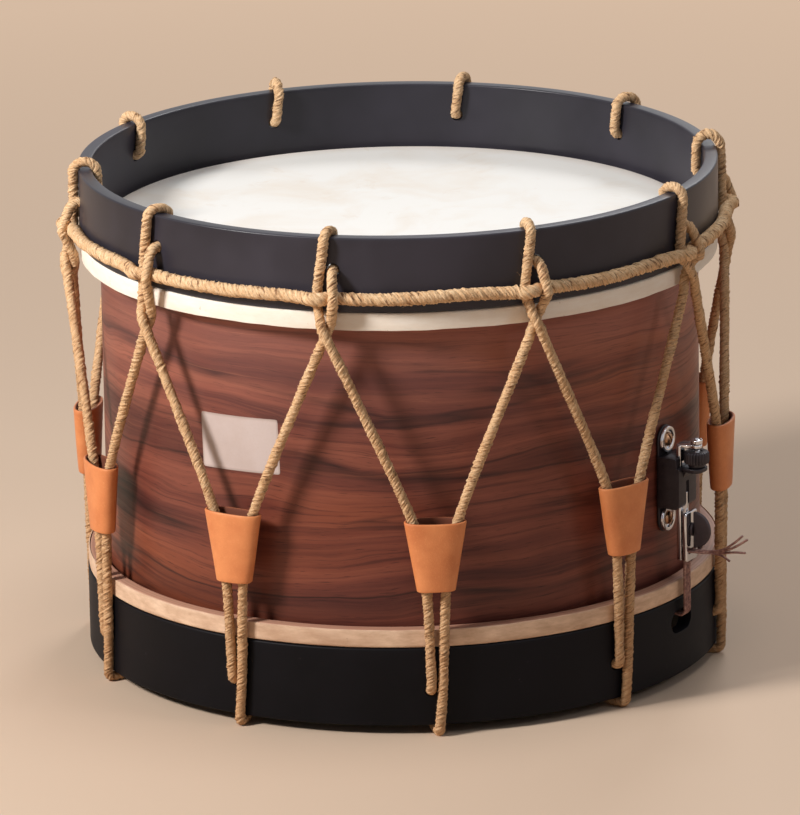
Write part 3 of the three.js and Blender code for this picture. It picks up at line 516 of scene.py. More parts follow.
WALNUT = walnut_material()
# The two hoops share one black lacquer. The upper hoop's copy is painted lighter, as a painted sheen, and the
# lower hoop's copy is painted darker, as painted shade.
SHEENED_LACQUER = lacquer_material("lacquer_painted_sheen", (38, 36, 43), (54, 51, 60), 0.36, 0.32)
SHADED_LACQUER = lacquer_material("lacquer_painted_shade", (9, 8, 11), (16, 14, 18), 0.5, 0.12)
CALF_SKIN = skin_material()
HOOP_WOOD = bare_wood_material()
ROPE = rope_material()
LEATHER = leather_material()
GUT = gut_material()
CHROME = metal_material("polished_chrome", (214, 214, 218), 0.12)
STEEL = metal_material("worn_steel", (74, 66, 68), 0.55, 0.08)
BRONZE = metal_material("dulled_screw", (168, 128, 98), 0.3, 0.1)
BLACK = black_metal_material()
PAPER = paper_material()


# Shell, skins and flesh hoops

def build_shell():
    inner = SHELL_R - SHELL_WALL
    edge = SHELL_R - 2.0
    corners = [
        (inner, SHELL_BOTTOM + 5), (edge, SHELL_BOTTOM), (SHELL_R, SHELL_BOTTOM + 1.5),
        (SHELL_R, SHELL_TOP - 1.5), (edge, SHELL_TOP), (inner, SHELL_TOP - 5),
    ]
    profile = round_profile(corners, [1.0, 0.5, 0.8, 0.8, 0.5, 1.0])
    dress(revolve("walnut_shell", profile, WALNUT), "shell")


def head_profile(face, up):
    """A skin from the drum's axis over the bearing edge and round its flesh hoop."""
    bend = SHELL_R + 1.2
    outer = [
        (0.01, 0), (SHELL_R - 9, 0), (SHELL_R - 3, -0.04), (SHELL_R - 1.4, -0.25), (SHELL_R + 0.2, -1.1),
        (bend, -2.3), (BAND_INNER_R - 0.7, -4.8), (BAND_INNER_R - 0.1, -5.9), (BAND_INNER_R + 0.8, -COLLAR),
        (BAND_R - 1.3, -COLLAR), (BAND_R - 0.5, -COLLAR - 0.25), (BAND_R - 0.1, -COLLAR - 0.9),
        (BAND_R, -COLLAR - 1.8), (BAND_R + 0.05, -COLLAR - 5.4), (BAND_R, -COLLAR - 9.6),
        (BAND_R - 0.15, -COLLAR - LAP),
    ]
    inner = [
        (BAND_R - SKIN + 0.05, -COLLAR - LAP - 0.2), (BAND_R - SKIN, -COLLAR - SKIN - 0.3),
        (BAND_INNER_R - 0.5, -COLLAR - SKIN), (bend - SKIN, -2.75), (SHELL_R - 2, -SKIN), (0.01, -SKIN),
    ]
    points = [(r, face + up * z) for r, z in outer + inner]
    return points[::-1] if up > 0 else points


LAP_WAVES = [(3, 0.12, 0.4), (7, 0.08, 1.9), (17, 0.06, 0.7), (41, 0.04, 2.2)]
EDGE_WAVES = [(5, 0.25, 1.0), (13, 0.16, 0.2), (29, 0.1, 2.6), (61, 0.08, 1.1)]


def build_head(name, node, face, up, phase):
    """A skin whose lapped band is hand-made: its radius and its edge wander a little."""
    free_edge = face - up * (COLLAR + 10.2)

    def wobble(radius, z, angles):
        outer = np.clip((radius - BAND_INNER_R) / (BAND_R - BAND_INNER_R), 0, 1)
        radius += outer * cylinder_wave(angles + phase, LAP_WAVES)[:, None]
        near_edge = np.clip(1 - np.abs(z - free_edge) / 3.0, 0, 1) * (radius > BAND_R - 2)
        z += near_edge * up * np.abs(cylinder_wave(angles + phase, EDGE_WAVES))[:, None]

    dress(revolve(name, head_profile(face, up), CALF_SKIN, wobble, sharp=50), node)


def build_flesh_hoop(node, face, up):
    low, high = sorted((face - up * (COLLAR + SKIN + CLEARANCE), face - up * (COLLAR + LAP)))
    outer = BAND_R - SKIN - CLEARANCE
    corners = [(BAND_INNER_R, low), (outer, low), (outer, high), (BAND_INNER_R, high)]
    dress(revolve(node + "_wood", round_profile(corners, [0.8] * 4), HOOP_WOOD), node)


# Counterhoops, with holes that keep the walls truly round

COLUMNS = 720
COLUMN = 2 * pi / COLUMNS
ROW_HEIGHT = 2.6
HOLE_COLUMNS = 4
HOLE_MARGIN = 2.4
HOLE_CHAMFER = 0.15
EDGE_STEPS = 5
WALLS = {"out": HOOP_R, "in": HOOP_INNER_R}


def hoop_rows(bottom, top, blocks):
    """Levels of a wall's rows, which include both ends of each block."""
    ends = sorted({end for block in blocks for end in block[-2:]})
    marks = [bottom + HOOP_EDGE, *ends, top - HOOP_EDGE]
    rows = []
    for low, high in zip(marks, marks[1:]):
        count = max(int(round((high - low) / ROW_HEIGHT)), 1)
        rows += [low + (high - low) * i / count for i in range(count)] if high > low else []
    return [*rows, top - HOOP_EDGE]


def hole_edge(vert, key, radius, hole, angle, z):
    """Two points of a hole's edge, in the direction of a point on the wall: the mouth of its small
    chamfer, and the chamfer's inner end."""
    middle, middle_z, half_width, half_height = hole
    straight = max(half_width - half_height, 0.0)
    direction = atan2((z - middle_z) * (half_width / half_height), (angle - middle) * radius)
    c, s = cos(direction), sin(direction)
    pair = []
    for depth, grow in ((0.0, HOLE_CHAMFER), (HOLE_CHAMFER, 0.0)):
        r = half_height + grow
        u = r * c + copysign(straight, c) * min(1.0, abs(c) * 3.0)
        inward = depth if radius == HOOP_INNER_R else -depth
        pair.append(vert((*key, depth), radius + inward, middle + u / radius, middle_z + r * s))
    return pair


def hoop_with_holes(name, bottom, top, holes, material):
    """holes: (azimuth, across, z, half width, half height). Each wall is a grid of quads, and
    a block of cells round each hole gives way to a ring that follows the hole's outline."""
    blocks = []
    for azimuth, across, z, half_width, half_height in holes:
        angle = radians(azimuth) + asin(across / HOOP_R)
        centre = int(round(angle / COLUMN))
        columns = max(HOLE_COLUMNS, int(ceil(half_width / (HOOP_INNER_R * COLUMN))) + 2)
        margin = half_height + HOLE_MARGIN
        low, high = max(z - margin, bottom + HOOP_EDGE), min(z + margin, top - HOOP_EDGE)
        blocks.append(((angle, z, half_width, half_height), centre - columns, centre + columns, low, high))
    rows = hoop_rows(bottom, top, blocks)
    verts, faces, index = [], [], {}

    def vert(key, radius, angle, z):
        if key not in index:
            index[key] = len(verts)
            verts.append((radius * cos(angle), radius * sin(angle), z))
        return index[key]

    def wall(side, k, row):
        return vert((side, k % COLUMNS, row), WALLS[side], k * COLUMN, rows[row])

    def add(quad, forwards):
        faces.append(quad if forwards else quad[::-1])

    places = [(left, right, rows.index(low), rows.index(high)) for _, left, right, low, high in blocks]
    blocked = {
        (k % COLUMNS, row) for left, right, low, high in places
        for k in range(left, right) for row in range(low, high)
    }
    for side in WALLS:
        for k in range(COLUMNS):
            for row in range(len(rows) - 1):
                if (k, row) not in blocked:
                    cell = ((k, row), (k + 1, row), (k + 1, row + 1), (k, row + 1))
                    add(tuple(wall(side, *place) for place in cell), side == "out")
    for number, (block, place) in enumerate(zip(blocks, places)):
        ring = border(*place)
        edges = {}
        for side, radius in WALLS.items():
            edges[side] = [
                hole_edge(vert, (number, side, i), radius, block[0], k * COLUMN, rows[row])
                for i, (k, row) in enumerate(ring)
            ]
            for i, j in around(len(ring)):
                here, there = edges[side][i], edges[side][j]
                add((wall(side, *ring[i]), wall(side, *ring[j]), there[0], here[0]), side == "out")
                add((here[0], there[0], there[1], here[1]), side == "out")
        for i, j in around(len(ring)):
            faces.append((edges["out"][i][1], edges["out"][j][1], edges["in"][j][1], edges["in"][i][1]))
    for end, sign, row in ((top, 1, len(rows) - 1), (bottom, -1, 0)):
        loops = []
        for k in range(COLUMNS):
            loop = [wall("out", k, row)]
            for centre, way in ((HOOP_R - HOOP_EDGE, 1), (HOOP_INNER_R + HOOP_EDGE, -1)):
                for i in range(1, EDGE_STEPS + 1)[::way]:
                    t = pi / 2 * i / EDGE_STEPS
                    radius = centre + way * HOOP_EDGE * cos(t)
                    z = end - sign * HOOP_EDGE + sign * HOOP_EDGE * sin(t)
                    loop.append(vert((end, k, way * i), radius, k * COLUMN, z))
            loops.append([*loop, wall("in", k, row)])
        for k, following in around(COLUMNS):
            here, there = loops[k], loops[following]
            for i in range(len(here) - 1):
                add((here[i], there[i], there[i + 1], here[i + 1]), sign > 0)
    return make_object(name, verts, faces, material, sharp=35)


def build_counterhoops():
    hooks = [STRAINER_AZIMUTH + k * PITCH for k in range(HOOKS)]
    above = [(a, HOLE_ACROSS, TOP_HOLE_Z, HOLE_R, HOLE_R) for a in hooks]
    below = [(a + PITCH / 2, -HOLE_ACROSS, BOTTOM_HOLE_Z, HOLE_R, HOLE_R) for a in hooks]
    below += [(a, 0.0, GATE_Z, GATE_HALF_WIDTH, GATE_HALF_HEIGHT) for a in (STRAINER_AZIMUTH, SEAM_AZIMUTH)]
    upper = hoop_with_holes("upper_hoop", TOP_HOOP_BOTTOM, RIM_TOP, above, SHEENED_LACQUER)
    dress(upper, "upper_counterhoop")
    lower = hoop_with_holes("lower_hoop", RIM_BOTTOM, BOTTOM_HOOP_TOP, below, SHADED_LACQUER)
    dress(lower, "lower_counterhoop")


build_shell()
build_head("batter_skin", "batter_head", BATTER_Z, 1, 0.0)
build_head("snare_skin", "snare_head", SNARE_HEAD_Z, -1, 1.7)
build_flesh_hoop("upper_flesh_hoop", BATTER_Z, 1)
build_flesh_hoop("lower_flesh_hoop", SNARE_HEAD_Z, -1)
build_counterhoops()


# Rope

ROPE_SIDES = 24
ROPE_STEP = 0.8
ROPE_LAY = 10.8
GIRTH_LAY = 15.0
PLIES = 3
PLY_SHARES = (0.925, 0.085)
FIBRE_ROUGHNESS = 0.075
FIBRE_RUN = 4
HAIRS_PER_MM = 6.0
GIRTH_HAIRS_PER_MM = 4.0
STRAYS_PER_MM = 0.09
HAIR_LENGTHS = (0.5, 2.0)
STRAY_LENGTHS = (3.0, 7.0)
HAIR_SIDES = 3
HAIR_WIDTH = 0.05
HAIR_TAPER = 0.8
HAIR_ROOT = 0.86
HAIR_LEAN = 0.7
CORNER_CUT = 0.25
PLY_SHAPE = 0.6

# A loose fibre's middle and tip, as shares of its length: along the rope, away from it, aside
HAIR_MIDDLE = (0.42, 0.2, 0.3)
TIP_ALONG = 0.75
TIP_LIFTS = (0.3, 0.85)

# Slow changes of a rope's thickness: (share of it, millimetres for a radian, phases)
SWELLS = [(0.035, 9.0, 1), (0.02, 3.7, 2)]


def smooth_path(points, step, rounds=3):
    """Rounds a route's corners, then places points at equal steps along it."""
    points = np.asarray(points, float)
    for _ in range(rounds):
        cut = np.empty((2 * len(points) - 2, 3))
        cut[0::2] = points[:-1] * (1 - CORNER_CUT) + points[1:] * CORNER_CUT
        cut[1::2] = points[:-1] * CORNER_CUT + points[1:] * (1 - CORNER_CUT)
        points = np.vstack([points[:1], cut, points[-1:]])
    lengths = np.concatenate([[0], np.cumsum(np.linalg.norm(np.diff(points, axis=0), axis=1))])
    count = max(int(round(lengths[-1] / step)), 2)
    places = np.linspace(0, lengths[-1], count + 1)
    return np.stack([np.interp(places, lengths, points[:, i]) for i in range(3)], 1), places


def frames_along(path):
    """Tangents and a pair of normals that turn as little as they can along a path."""
    tangent = np.gradient(path, axis=0)
    tangent /= np.linalg.norm(tangent, axis=1)[:, None]
    start = np.cross(tangent[0], [0.0, 0.0, 1.0])
    if np.linalg.norm(start) < 1e-3:
        start = np.cross(tangent[0], [1.0, 0.0, 0.0])
    normal = np.zeros_like(path)
    normal[0] = start / np.linalg.norm(start)
    for i in range(1, len(path)):
        n = normal[i - 1] - tangent[i] * (normal[i - 1] @ tangent[i])
        normal[i] = n / np.linalg.norm(n)
    return tangent, normal, np.cross(tangent, normal)


def fuzz(path, tangent, normal, across, radius, tufts, first, lengths):
    """Short loose fibres that leave the rope nearly flat and curl away from it."""
    where = rng.integers(2, len(path) - 2, tufts)
    angle = rng.uniform(0, 2 * pi, tufts)
    length = rng.uniform(*lengths, tufts)
    sense = rng.choice([-1.0, 1.0], tufts)
    out = np.cos(angle)[:, None] * normal[where] + np.sin(angle)[:, None] * across[where]
    side = np.cross(tangent[where], out)
    along = tangent[where] * sense[:, None]
    lean = rng.uniform(-HAIR_LEAN, HAIR_LEAN, tufts)[:, None]
    root = path[where] + out * radius * HAIR_ROOT
    ahead, away, aside = HAIR_MIDDLE
    middle = root + length[:, None] * (along * ahead + out * away + side * lean * aside)
    lift = rng.uniform(*TIP_LIFTS, tufts)[:, None]
    tip = root + length[:, None] * (along * TIP_ALONG + out * lift + side * lean)
    rings = []
    for centre, width in ((root, HAIR_WIDTH), (middle, HAIR_WIDTH * HAIR_TAPER)):
        for k in range(HAIR_SIDES):
            t = 2 * pi * k / HAIR_SIDES
            rings.append(centre + width * (cos(t) * out + sin(t) * side))
    verts = np.stack([*rings, tip], 1).reshape(-1, 3)
    faces = []
    for t in range(tufts):
        b = first + t * (2 * HAIR_SIDES + 1)
        faces.append((b + 2, b + 1, b))
        for k, m in around(HAIR_SIDES):
            faces.append((b + k, b + m, b + HAIR_SIDES + m, b + HAIR_SIDES + k))
            faces.append((b + HAIR_SIDES + k, b + HAIR_SIDES + m, b + 2 * HAIR_SIDES))
    return verts, faces


def rope_mesh(routes, radius, lay, hairs, floor=None, taper=None):
    """Twisted rope along each route: vertices, faces, coordinates and how deep each point lies."""
    verts, faces, uvs, depth = [], [], [], []
    count = 0
    s = ROPE_SIDES
    theta = np.arange(s) * 2 * pi / s
    lobes = np.abs(np.cos(PLIES * theta / 2)) ** PLY_SHAPE
    section = radius * (PLY_SHARES[0] + PLY_SHARES[1] * lobes)
    for route in routes:
        path, places = smooth_path(route, ROPE_STEP)
        tangent, normal, across = frames_along(path)
        n = len(path)
        phase = rng.uniform(0, 2 * pi)
        swell = np.ones(n)
        for share, wave, phases in SWELLS:
            swell = swell + share * np.sin(places / wave + phases * phase)
        if taper is not None:
            length, start = taper
            swell = swell * np.clip(start + (1 - start) * places / length, 0, 1)
        angle = theta[None, :] + (phase + 2 * pi * places / lay)[:, None]
        grain = rng.normal(0, 1, (n + FIBRE_RUN - 1, s))
        grain = np.cumsum(np.vstack([np.zeros((1, s)), grain]), 0)
        grain = (grain[FIBRE_RUN:] - grain[:-FIBRE_RUN]) / sqrt(FIBRE_RUN)
        reach = section[None, :] * swell[:, None] * (1 + FIBRE_ROUGHNESS * grain)
        ring = (
            path[:, None, :]
            + (reach * np.cos(angle))[:, :, None] * normal[:, None, :]
            + (reach * np.sin(angle))[:, :, None] * across[:, None, :]
        )
        u = np.repeat((np.arange(s) / s)[None, :], n, 0)
        v = np.repeat((places / (2 * radius))[:, None], s, 1)
        verts.append(ring.reshape(-1, 3))
        uvs.append(np.stack([u, v], -1).reshape(-1, 2))
        depth.append(np.repeat(lobes[None, :], n, 0).ravel())
        i, k = np.meshgrid(np.arange(n - 1), np.arange(s), indexing="ij")
        m = (k + 1) % s
        quads = np.stack([i * s + k, i * s + m, (i + 1) * s + m, (i + 1) * s + k], -1).reshape(-1, 4) + count
        faces.extend(map(tuple, quads.tolist()))
        faces.append(tuple(range(count + s - 1, count - 1, -1)))
        faces.append(tuple(range(count + (n - 1) * s, count + n * s)))
        count += n * s
        for rate, lengths in ((hairs, HAIR_LENGTHS), (STRAYS_PER_MM, STRAY_LENGTHS)) if hairs else ():
            tufts = int(places[-1] * rate)
            loose, loose_faces = fuzz(path, tangent, normal, across, radius, tufts, count, lengths)
            verts.append(loose)
            faces.extend(loose_faces)
            uvs.append(np.tile([0.5, 0.5], (len(loose), 1)))
            depth.append(np.ones(len(loose)))
            count += len(loose)
    verts = np.vstack(verts)
    if floor is not None:
        verts[:, 2] = np.maximum(verts[:, 2], floor)
    return verts, faces, np.vstack(uvs), np.concatenate(depth)


def rope_object(name, routes, radius, lay, hairs=HAIRS_PER_MM, floor=None):
    verts, faces, uvs, depth = rope_mesh(routes, radius, lay, hairs, floor)
    rope = make_object(name, verts, faces, ROPE, uvs)
    # The groove value darkens the rope between its plies, as painted shade.
    store(rope, "groove", depth)
    return rope


def bend(azimuth, centre, radius, angles, across, steps=6):
    """Points of a bend in the plane of a hook or a V, while the rope drifts across."""
    points = []
    for i in range(steps + 1):
        share = i / steps
        a = radians(angles[0] + (angles[1] - angles[0]) * share)
        drift = across[0] + (across[1] - across[0]) * share
        points.append(at(azimuth, centre[0] + radius * cos(a), drift, centre[1] + radius * sin(a)))
    return points


BEND_R = 3.9
RIM_DRIFT = 0.78
GIRTH_SAG = 0.9
GIRTH_SAGS = 5
ARCH_STEPS = 12
ARCH_DROP = 2.2
FLOOR_GAP = 0.02

# A strand's way through its crossing, as (up, across, out) in rope diameters from the crossing
CROSSING = [(1.7, 0.58, 0), (0.84, 0.4, 0.36), (0, 0, 0.52), (-0.82, -0.39, 0.4), (-1.65, -0.74, 0.25)]
CROSSING_R = OUTSIDE_R + ROPE_R + CLEARANCE

# How far the rope arches above the rim at each hook, and how far each hook's crossing sits above
# the plain level, from the strainer's hook onwards
ARCH_RISES = [3.4, 6.6, 4.2, 4.0, 4.8, 4.2, 4.6, 2.9, 2.9, 2.9]
CROSSING_LIFTS = [6.0, 0, 0, 0, 0, 0, 0, -6.5, 0, 1.5]


def tab_azimuth(k):
    return STRAINER_AZIMUTH + (k + 0.5) * PITCH


def in_tab(k, side, mouth, across):
    """A strand's mouth and middle in its tab, on its right side, 1, or its left, -1."""
    azimuth = tab_azimuth(k)
    return [
        at(azimuth, TAB_ROPE_R, side * across, mouth),
        at(azimuth, TAB_ROPE_R, side * TAB_MIDDLE_ACROSS, sum(TABS[k]) / 2),
    ]


def crossing(hook, side):
    azimuth = STRAINER_AZIMUTH + hook * PITCH
    level = CROSSING_Z + CROSSING_LIFTS[hook % HOOKS]
    return [
        at(azimuth, CROSSING_R - side * out * ROPE_D, side * across * ROPE_D, level + up * ROPE_D)
        for up, across, out in CROSSING
    ]


def right_upper(k):
    """From the middle of the hook's hole, over the girth rope, down into the tab."""
    hook = tab_azimuth(k) + PITCH / 2
    return [
        at(hook, HOOP_MID_R, HOLE_ACROSS, TOP_HOLE_Z),
        *bend(hook, (HOOP_R, TOP_HOLE_Z - 7), 7.0, (90, 20), (HOLE_ACROSS, 4.2)),
        at(hook, OVER_GIRTH_R, GIRTH_ACROSS - 0.3, GIRTH_Z),
        at(hook, OVER_GIRTH_R - 0.3, GIRTH_ACROSS - 0.7, GIRTH_Z - 3.1),
        *crossing(k + 1, 1),
        *in_tab(k, 1, TABS[k][1] + CLEARANCE, TAB_TOP_ACROSS),
    ]


def left_upper(k):
    """From inside the tab, up behind the girth rope, over the rim and into the hook's hole."""
    hook = tab_azimuth(k) - PITCH / 2
    reach = HOOP_WALL / 2 + RIM_GAP
    inner_bend = (INSIDE_R + BEND_R, TOP_HOLE_Z + BEND_R)
    arch = []
    for i in range(ARCH_STEPS + 1):
        c, s = cos(pi * i / ARCH_STEPS), sin(pi * i / ARCH_STEPS)
        rise = (ARCH_RISES[k] + ARCH_DROP) * s
        arch.append(at(hook, HOOP_MID_R + reach * c, -RIM_ACROSS * c, RIM_TOP - ARCH_DROP + rise))
    return [
        *reversed(in_tab(k, -1, TABS[k][1] + CLEARANCE, TAB_TOP_ACROSS)),
        *reversed(crossing(k, -1)),
        at(hook, OUTSIDE_R, -GIRTH_ACROSS + 0.4, GIRTH_Z - 3.1),
        at(hook, OUTSIDE_R, -GIRTH_ACROSS + 0.4, GIRTH_Z + 3.4),
        *arch,
        *bend(hook, inner_bend, BEND_R, (180, 270), (HOLE_ACROSS - 0.2, HOLE_ACROSS)),
        at(hook, HOOP_MID_R, HOLE_ACROSS, TOP_HOLE_Z),
    ]


def lower_loop(k):
    """Down from inside the tab, round under the lower rim, up inside, out and up again."""
    azimuth = tab_azimuth(k)
    mouth = TABS[k][0] - CLEARANCE
    inner_bend = (INSIDE_R + BEND_R, BOTTOM_HOLE_Z - BEND_R)
    outer_bend = (OUTSIDE_R - BEND_R, BOTTOM_HOLE_Z + BEND_R)
    return [
        *reversed(in_tab(k, 1, mouth, TAB_BOTTOM_ACROSS)),
        at(azimuth, OUTSIDE_R, HOLE_ACROSS, BOTTOM_HOLE_Z + 3),
        *bend(azimuth, (HOOP_R, RIM_BOTTOM), RIM_GAP, (0, -90), (RIM_ACROSS, RIM_DRIFT)),
        at(azimuth, HOOP_MID_R, 0, RIM_BOTTOM - RIM_GAP),
        *bend(azimuth, (HOOP_INNER_R, RIM_BOTTOM), RIM_GAP, (-90, -180), (-RIM_DRIFT, -RIM_ACROSS)),
        *bend(azimuth, inner_bend, BEND_R, (180, 90), (0.15 - HOLE_ACROSS, -HOLE_ACROSS)),
        *bend(azimuth, outer_bend, BEND_R, (270, 360), (-HOLE_ACROSS, -HOLE_ACROSS)),
        *in_tab(k, -1, mouth, TAB_BOTTOM_ACROSS),
    ]


def build_tension_ropes():
    """Each V's upper strands and lower loop, as ropes that stand in for its CAD strands."""
    for k in range(HOOKS):
        low, high = TABS[k]
        for name, routes, floor, fixed, held in (
            ("upper", [right_upper(k), left_upper(k)], None, CROSSING_Z - 8, high),
            ("lower", [lower_loop(k)], FLOOR_GAP, BOTTOM_HOLE_Z + 8, low),
        ):
            rope = rope_object(f"rope_{name}_{k + 1}", routes, ROPE_R, ROPE_LAY, floor=floor)
            dress(rope, *[f"tension_rope_{k + 1}_{side}" for side in ("right", "left")], ride=False)
            start, end = (tuple(at(tab_azimuth(k), TAB_ROPE_R, 0, z) * MM) for z in (fixed, held))
            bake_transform(rope)
            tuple(start)
            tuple(end)


def girth_route():
    """Round the counterhoop, in front of each left strand and behind each right one."""
    rest = HOOP_R + CLEARANCE * 2 + GIRTH_R
    left = (-GIRTH_ACROSS + 0.4, OUTSIDE_R)
    right = (GIRTH_ACROSS - 0.3, OVER_GIRTH_R)
    slope = atan2(right[1] - left[1], right[0] - left[0])
    reach = hypot(right[1] - left[1], right[0] - left[0]) / 2 + 0.1
    over_left = (pi - slope, pi * 0.75 - slope / 2, pi / 2, pi / 4 + slope / 2, slope)
    behind_right = (pi * 5 / 2 + slope) / 2
    places = [(left, angle) for angle in over_left] + [(right, behind_right)]
    first = STRAINER_AZIMUTH + HOOKS / 2 * PITCH
    points = [at(first, rest, GIRTH_ACROSS, GIRTH_Z)]
    for k in range(HOOKS):
        hook = STRAINER_AZIMUTH + (HOOKS / 2 + k) * PITCH
        for i, sag in enumerate(rng.uniform(-GIRTH_SAG, GIRTH_SAG, GIRTH_SAGS)):
            points.append(at(hook + PITCH * ((i + 1.2) / 6.4), rest + 0.3, 0, GIRTH_Z + sag))
        for (across, radial), angle in places:
            out, drift = reach * sin(angle), reach * cos(angle)
            points.append(at(hook + PITCH, radial + out, across + drift, GIRTH_Z))
        points.append(at(hook + PITCH, rest, GIRTH_ACROSS, GIRTH_Z))
    return points


def build_girth_rope():
    rope = rope_object("girth_rope_twisted", [girth_route()], GIRTH_R, GIRTH_LAY, GIRTH_HAIRS_PER_MM)
    dress(rope, "girth_rope")


build_tension_ropes()
build_girth_rope()


# Leather tabs

TAB_SIDES = 72
TAB_ROWS = 22
TAB_EDGE = TAB_WALL / 2
TAB_EDGE_STEPS = 6
TAB_EDGE_RISE = 0.7
TAB_HALF_WIDTHS = (11.3, 18.2)
TAB_HALF_DEPTHS = (6.2, 7.6)
TAB_OVAL = 2 / 2.35
TAB_DENTS = (0.14, 0.1)
TAB_DIPS = (0.25, 0.135)

# The leather turns from its outside's colour to the painted shade of its inside at these shares of the wall
INSIDE_SHARES = (0.3, 0.72)


def tab_section(share, grow):
    """An oval section, in (across, out), at a share of the tab's height from its bottom."""
    half_width = TAB_HALF_WIDTHS[0] + (TAB_HALF_WIDTHS[1] - TAB_HALF_WIDTHS[0]) * share + grow
    half_depth = TAB_HALF_DEPTHS[0] + (TAB_HALF_DEPTHS[1] - TAB_HALF_DEPTHS[0]) * share ** 0.8 + grow
    points = []
    for i in range(TAB_SIDES):
        t = 2 * pi * i / TAB_SIDES
        points.append([
            half * copysign(abs(value) ** TAB_OVAL, value)
            for half, value in ((half_width, cos(t)), (half_depth, sin(t)))
        ])
    return points


def tab_rows():
    """Rows up the outside, over the top edge, down the inside and under: (share, growth, lift)."""
    shares = [i / TAB_ROWS for i in range(1, TAB_ROWS)]
    arc = [
        (TAB_EDGE * (1 - cos(pi * k / TAB_EDGE_STEPS)),
         TAB_EDGE * sin(pi * k / TAB_EDGE_STEPS) * TAB_EDGE_RISE)
        for k in range(TAB_EDGE_STEPS + 1)
    ]
    return [
        *[(share, 0.0, 0.0) for share in shares], *[(1.0, -inward, lift) for inward, lift in arc],
        *[(share, -TAB_WALL, 0.0) for share in shares[::-1]],
        *[(0.0, inward - TAB_WALL, -lift) for inward, lift in arc],
    ]


def build_tab(k):
    phase = rng.uniform(0, 2 * pi, 4)
    low, high = TABS[k]
    rows = tab_rows()
    verts, inside = [], []
    for share, grow, lift in rows:
        for i, (across, out) in enumerate(tab_section(share, grow)):
            t = 2 * pi * i / TAB_SIDES
            dent = TAB_DENTS[0] * sin(2 * t + phase[0]) + TAB_DENTS[1] * sin(3 * t + 5 * share + phase[1])
            dip = TAB_DIPS[0] * sin(t + phase[2]) * (2 * share - 1) - TAB_DIPS[1] * (1 - share) * cos(2 * t)
            straight = share * (high - low - TAB_EDGE * 2 * TAB_EDGE_RISE)
            z = low + TAB_EDGE * TAB_EDGE_RISE + straight + lift + dip
            verts.append(at(tab_azimuth(k), TAB_ROPE_R + out + dent * copysign(1.0, out), across, z))
            # How far each point lies in the wall's inner side, which is painted dark as shade.
            inside.append(sum(-grow > part * TAB_WALL for part in INSIDE_SHARES) / len(INSIDE_SHARES))
    faces = [
        (row * TAB_SIDES + j, row * TAB_SIDES + i, above * TAB_SIDES + i, above * TAB_SIDES + j)
        for row, above in around(len(rows)) for i, j in around(TAB_SIDES)
    ]
    tab = make_object(f"leather_tab_{k + 1}", verts, faces, LEATHER)
    store(tab, "inside", inside)
    dress(tab, f"tension_tab_{k + 1}")


for tab_place in range(HOOKS):
    build_tab(tab_place)


# Fittings: each solid is made on +X, in (out, across, up), and turned to its azimuth

BEVEL_STEPS = 3
SHARP_EDGE = radians(30)
AXIS_R = 0.01


def spot(axis, first, second, along):
    """A point from its two coordinates across an axis and the one along it."""
    return {"x": (along, first, second), "y": (first, along, second), "z": (first, second, along)}[axis]


def soften(solid, bevel):
    """Rounds a solid's sharp edges."""
    if bevel:
        edges = [e for e in solid.edges if e.calc_face_angle(0) > SHARP_EDGE]
        bmesh.ops.bevel(
            solid, geom=edges, offset=bevel, offset_type="OFFSET", segments=BEVEL_STEPS,
            profile=0.5, affect="EDGES", clamp_overlap=True,
        )
    return solid


def prism(outline, axis, low, high, bevel=0.0):
    """A flat outline, extruded along an axis from low to high."""
    solid = bmesh.new()
    ends = [[solid.verts.new(spot(axis, *point, level)) for point in outline] for level in (low, high)]
    for i, j in around(len(outline)):
        solid.faces.new((ends[0][i], ends[0][j], ends[1][j], ends[1][i]))
    solid.faces.new(ends[0][::-1])
    solid.faces.new(ends[1])
    bmesh.ops.recalc_face_normals(solid, faces=solid.faces)
    return soften(solid, bevel)


def turned(profile, origin, axis, segments=64):
    """A closed outline of (radius, along), turned about an axis through a point."""
    solid = bmesh.new()
    rings = []
    for i in range(segments):
        c, s = cos(2 * pi * i / segments), sin(2 * pi * i / segments)
        places = (np.add(origin, spot(axis, radius * c, radius * s, along)) for radius, along in profile)
        rings.append([solid.verts.new(place) for place in places])
    for i, j in around(segments):
        for k, m in around(len(profile)):
            solid.faces.new((rings[i][k], rings[j][k], rings[j][m], rings[i][m]))
    bmesh.ops.remove_doubles(solid, verts=solid.verts, dist=1e-4)
    bmesh.ops.recalc_face_normals(solid, faces=solid.faces)
    return solid


def to_mesh(solid, name):
    mesh = bpy.data.meshes.new(name)
    solid.to_mesh(mesh)
    solid.free()
    return mesh


def carved(solid, *cutters):
    """A solid with others cut out of it."""
    block = link("block", to_mesh(solid, "block"))
    tools = [link("cutter", to_mesh(cutter, "cutter")) for cutter in cutters]
    for tool in tools:
        modifier = block.modifiers.new("cut", "BOOLEAN")
        modifier.operation = "DIFFERENCE"
        modifier.solver = "EXACT"
        modifier.object = tool
    graph = bpy.context.evaluated_depsgraph_get()
    result = bmesh.new()
    cut_mesh = bpy.data.meshes.new_from_object(block.evaluated_get(graph))
    result.from_mesh(cut_mesh)
    for mesh in [cut_mesh, *[obj.data for obj in (block, *tools)]]:
        bpy.data.meshes.remove(mesh)
    return result


def fitting(name, node, material, *solids):
    """Joins solids into one object, in metres, turned to its place on the drum."""
    whole = bmesh.new()
    for solid in solids:
        piece = to_mesh(solid, "piece")
        whole.from_mesh(piece)
        bpy.data.meshes.remove(piece)
    azimuth = SEAM_AZIMUTH if node.startswith("butt") else STRAINER_AZIMUTH
    turn = Matrix.Rotation(radians(azimuth), 4, "Z") @ Matrix.Scale(MM, 4)
    bmesh.ops.transform(whole, matrix=turn, verts=whole.verts)
    mesh = to_mesh(whole, name)
    shade(mesh, material, 38)
    dress(link(name, mesh), node)


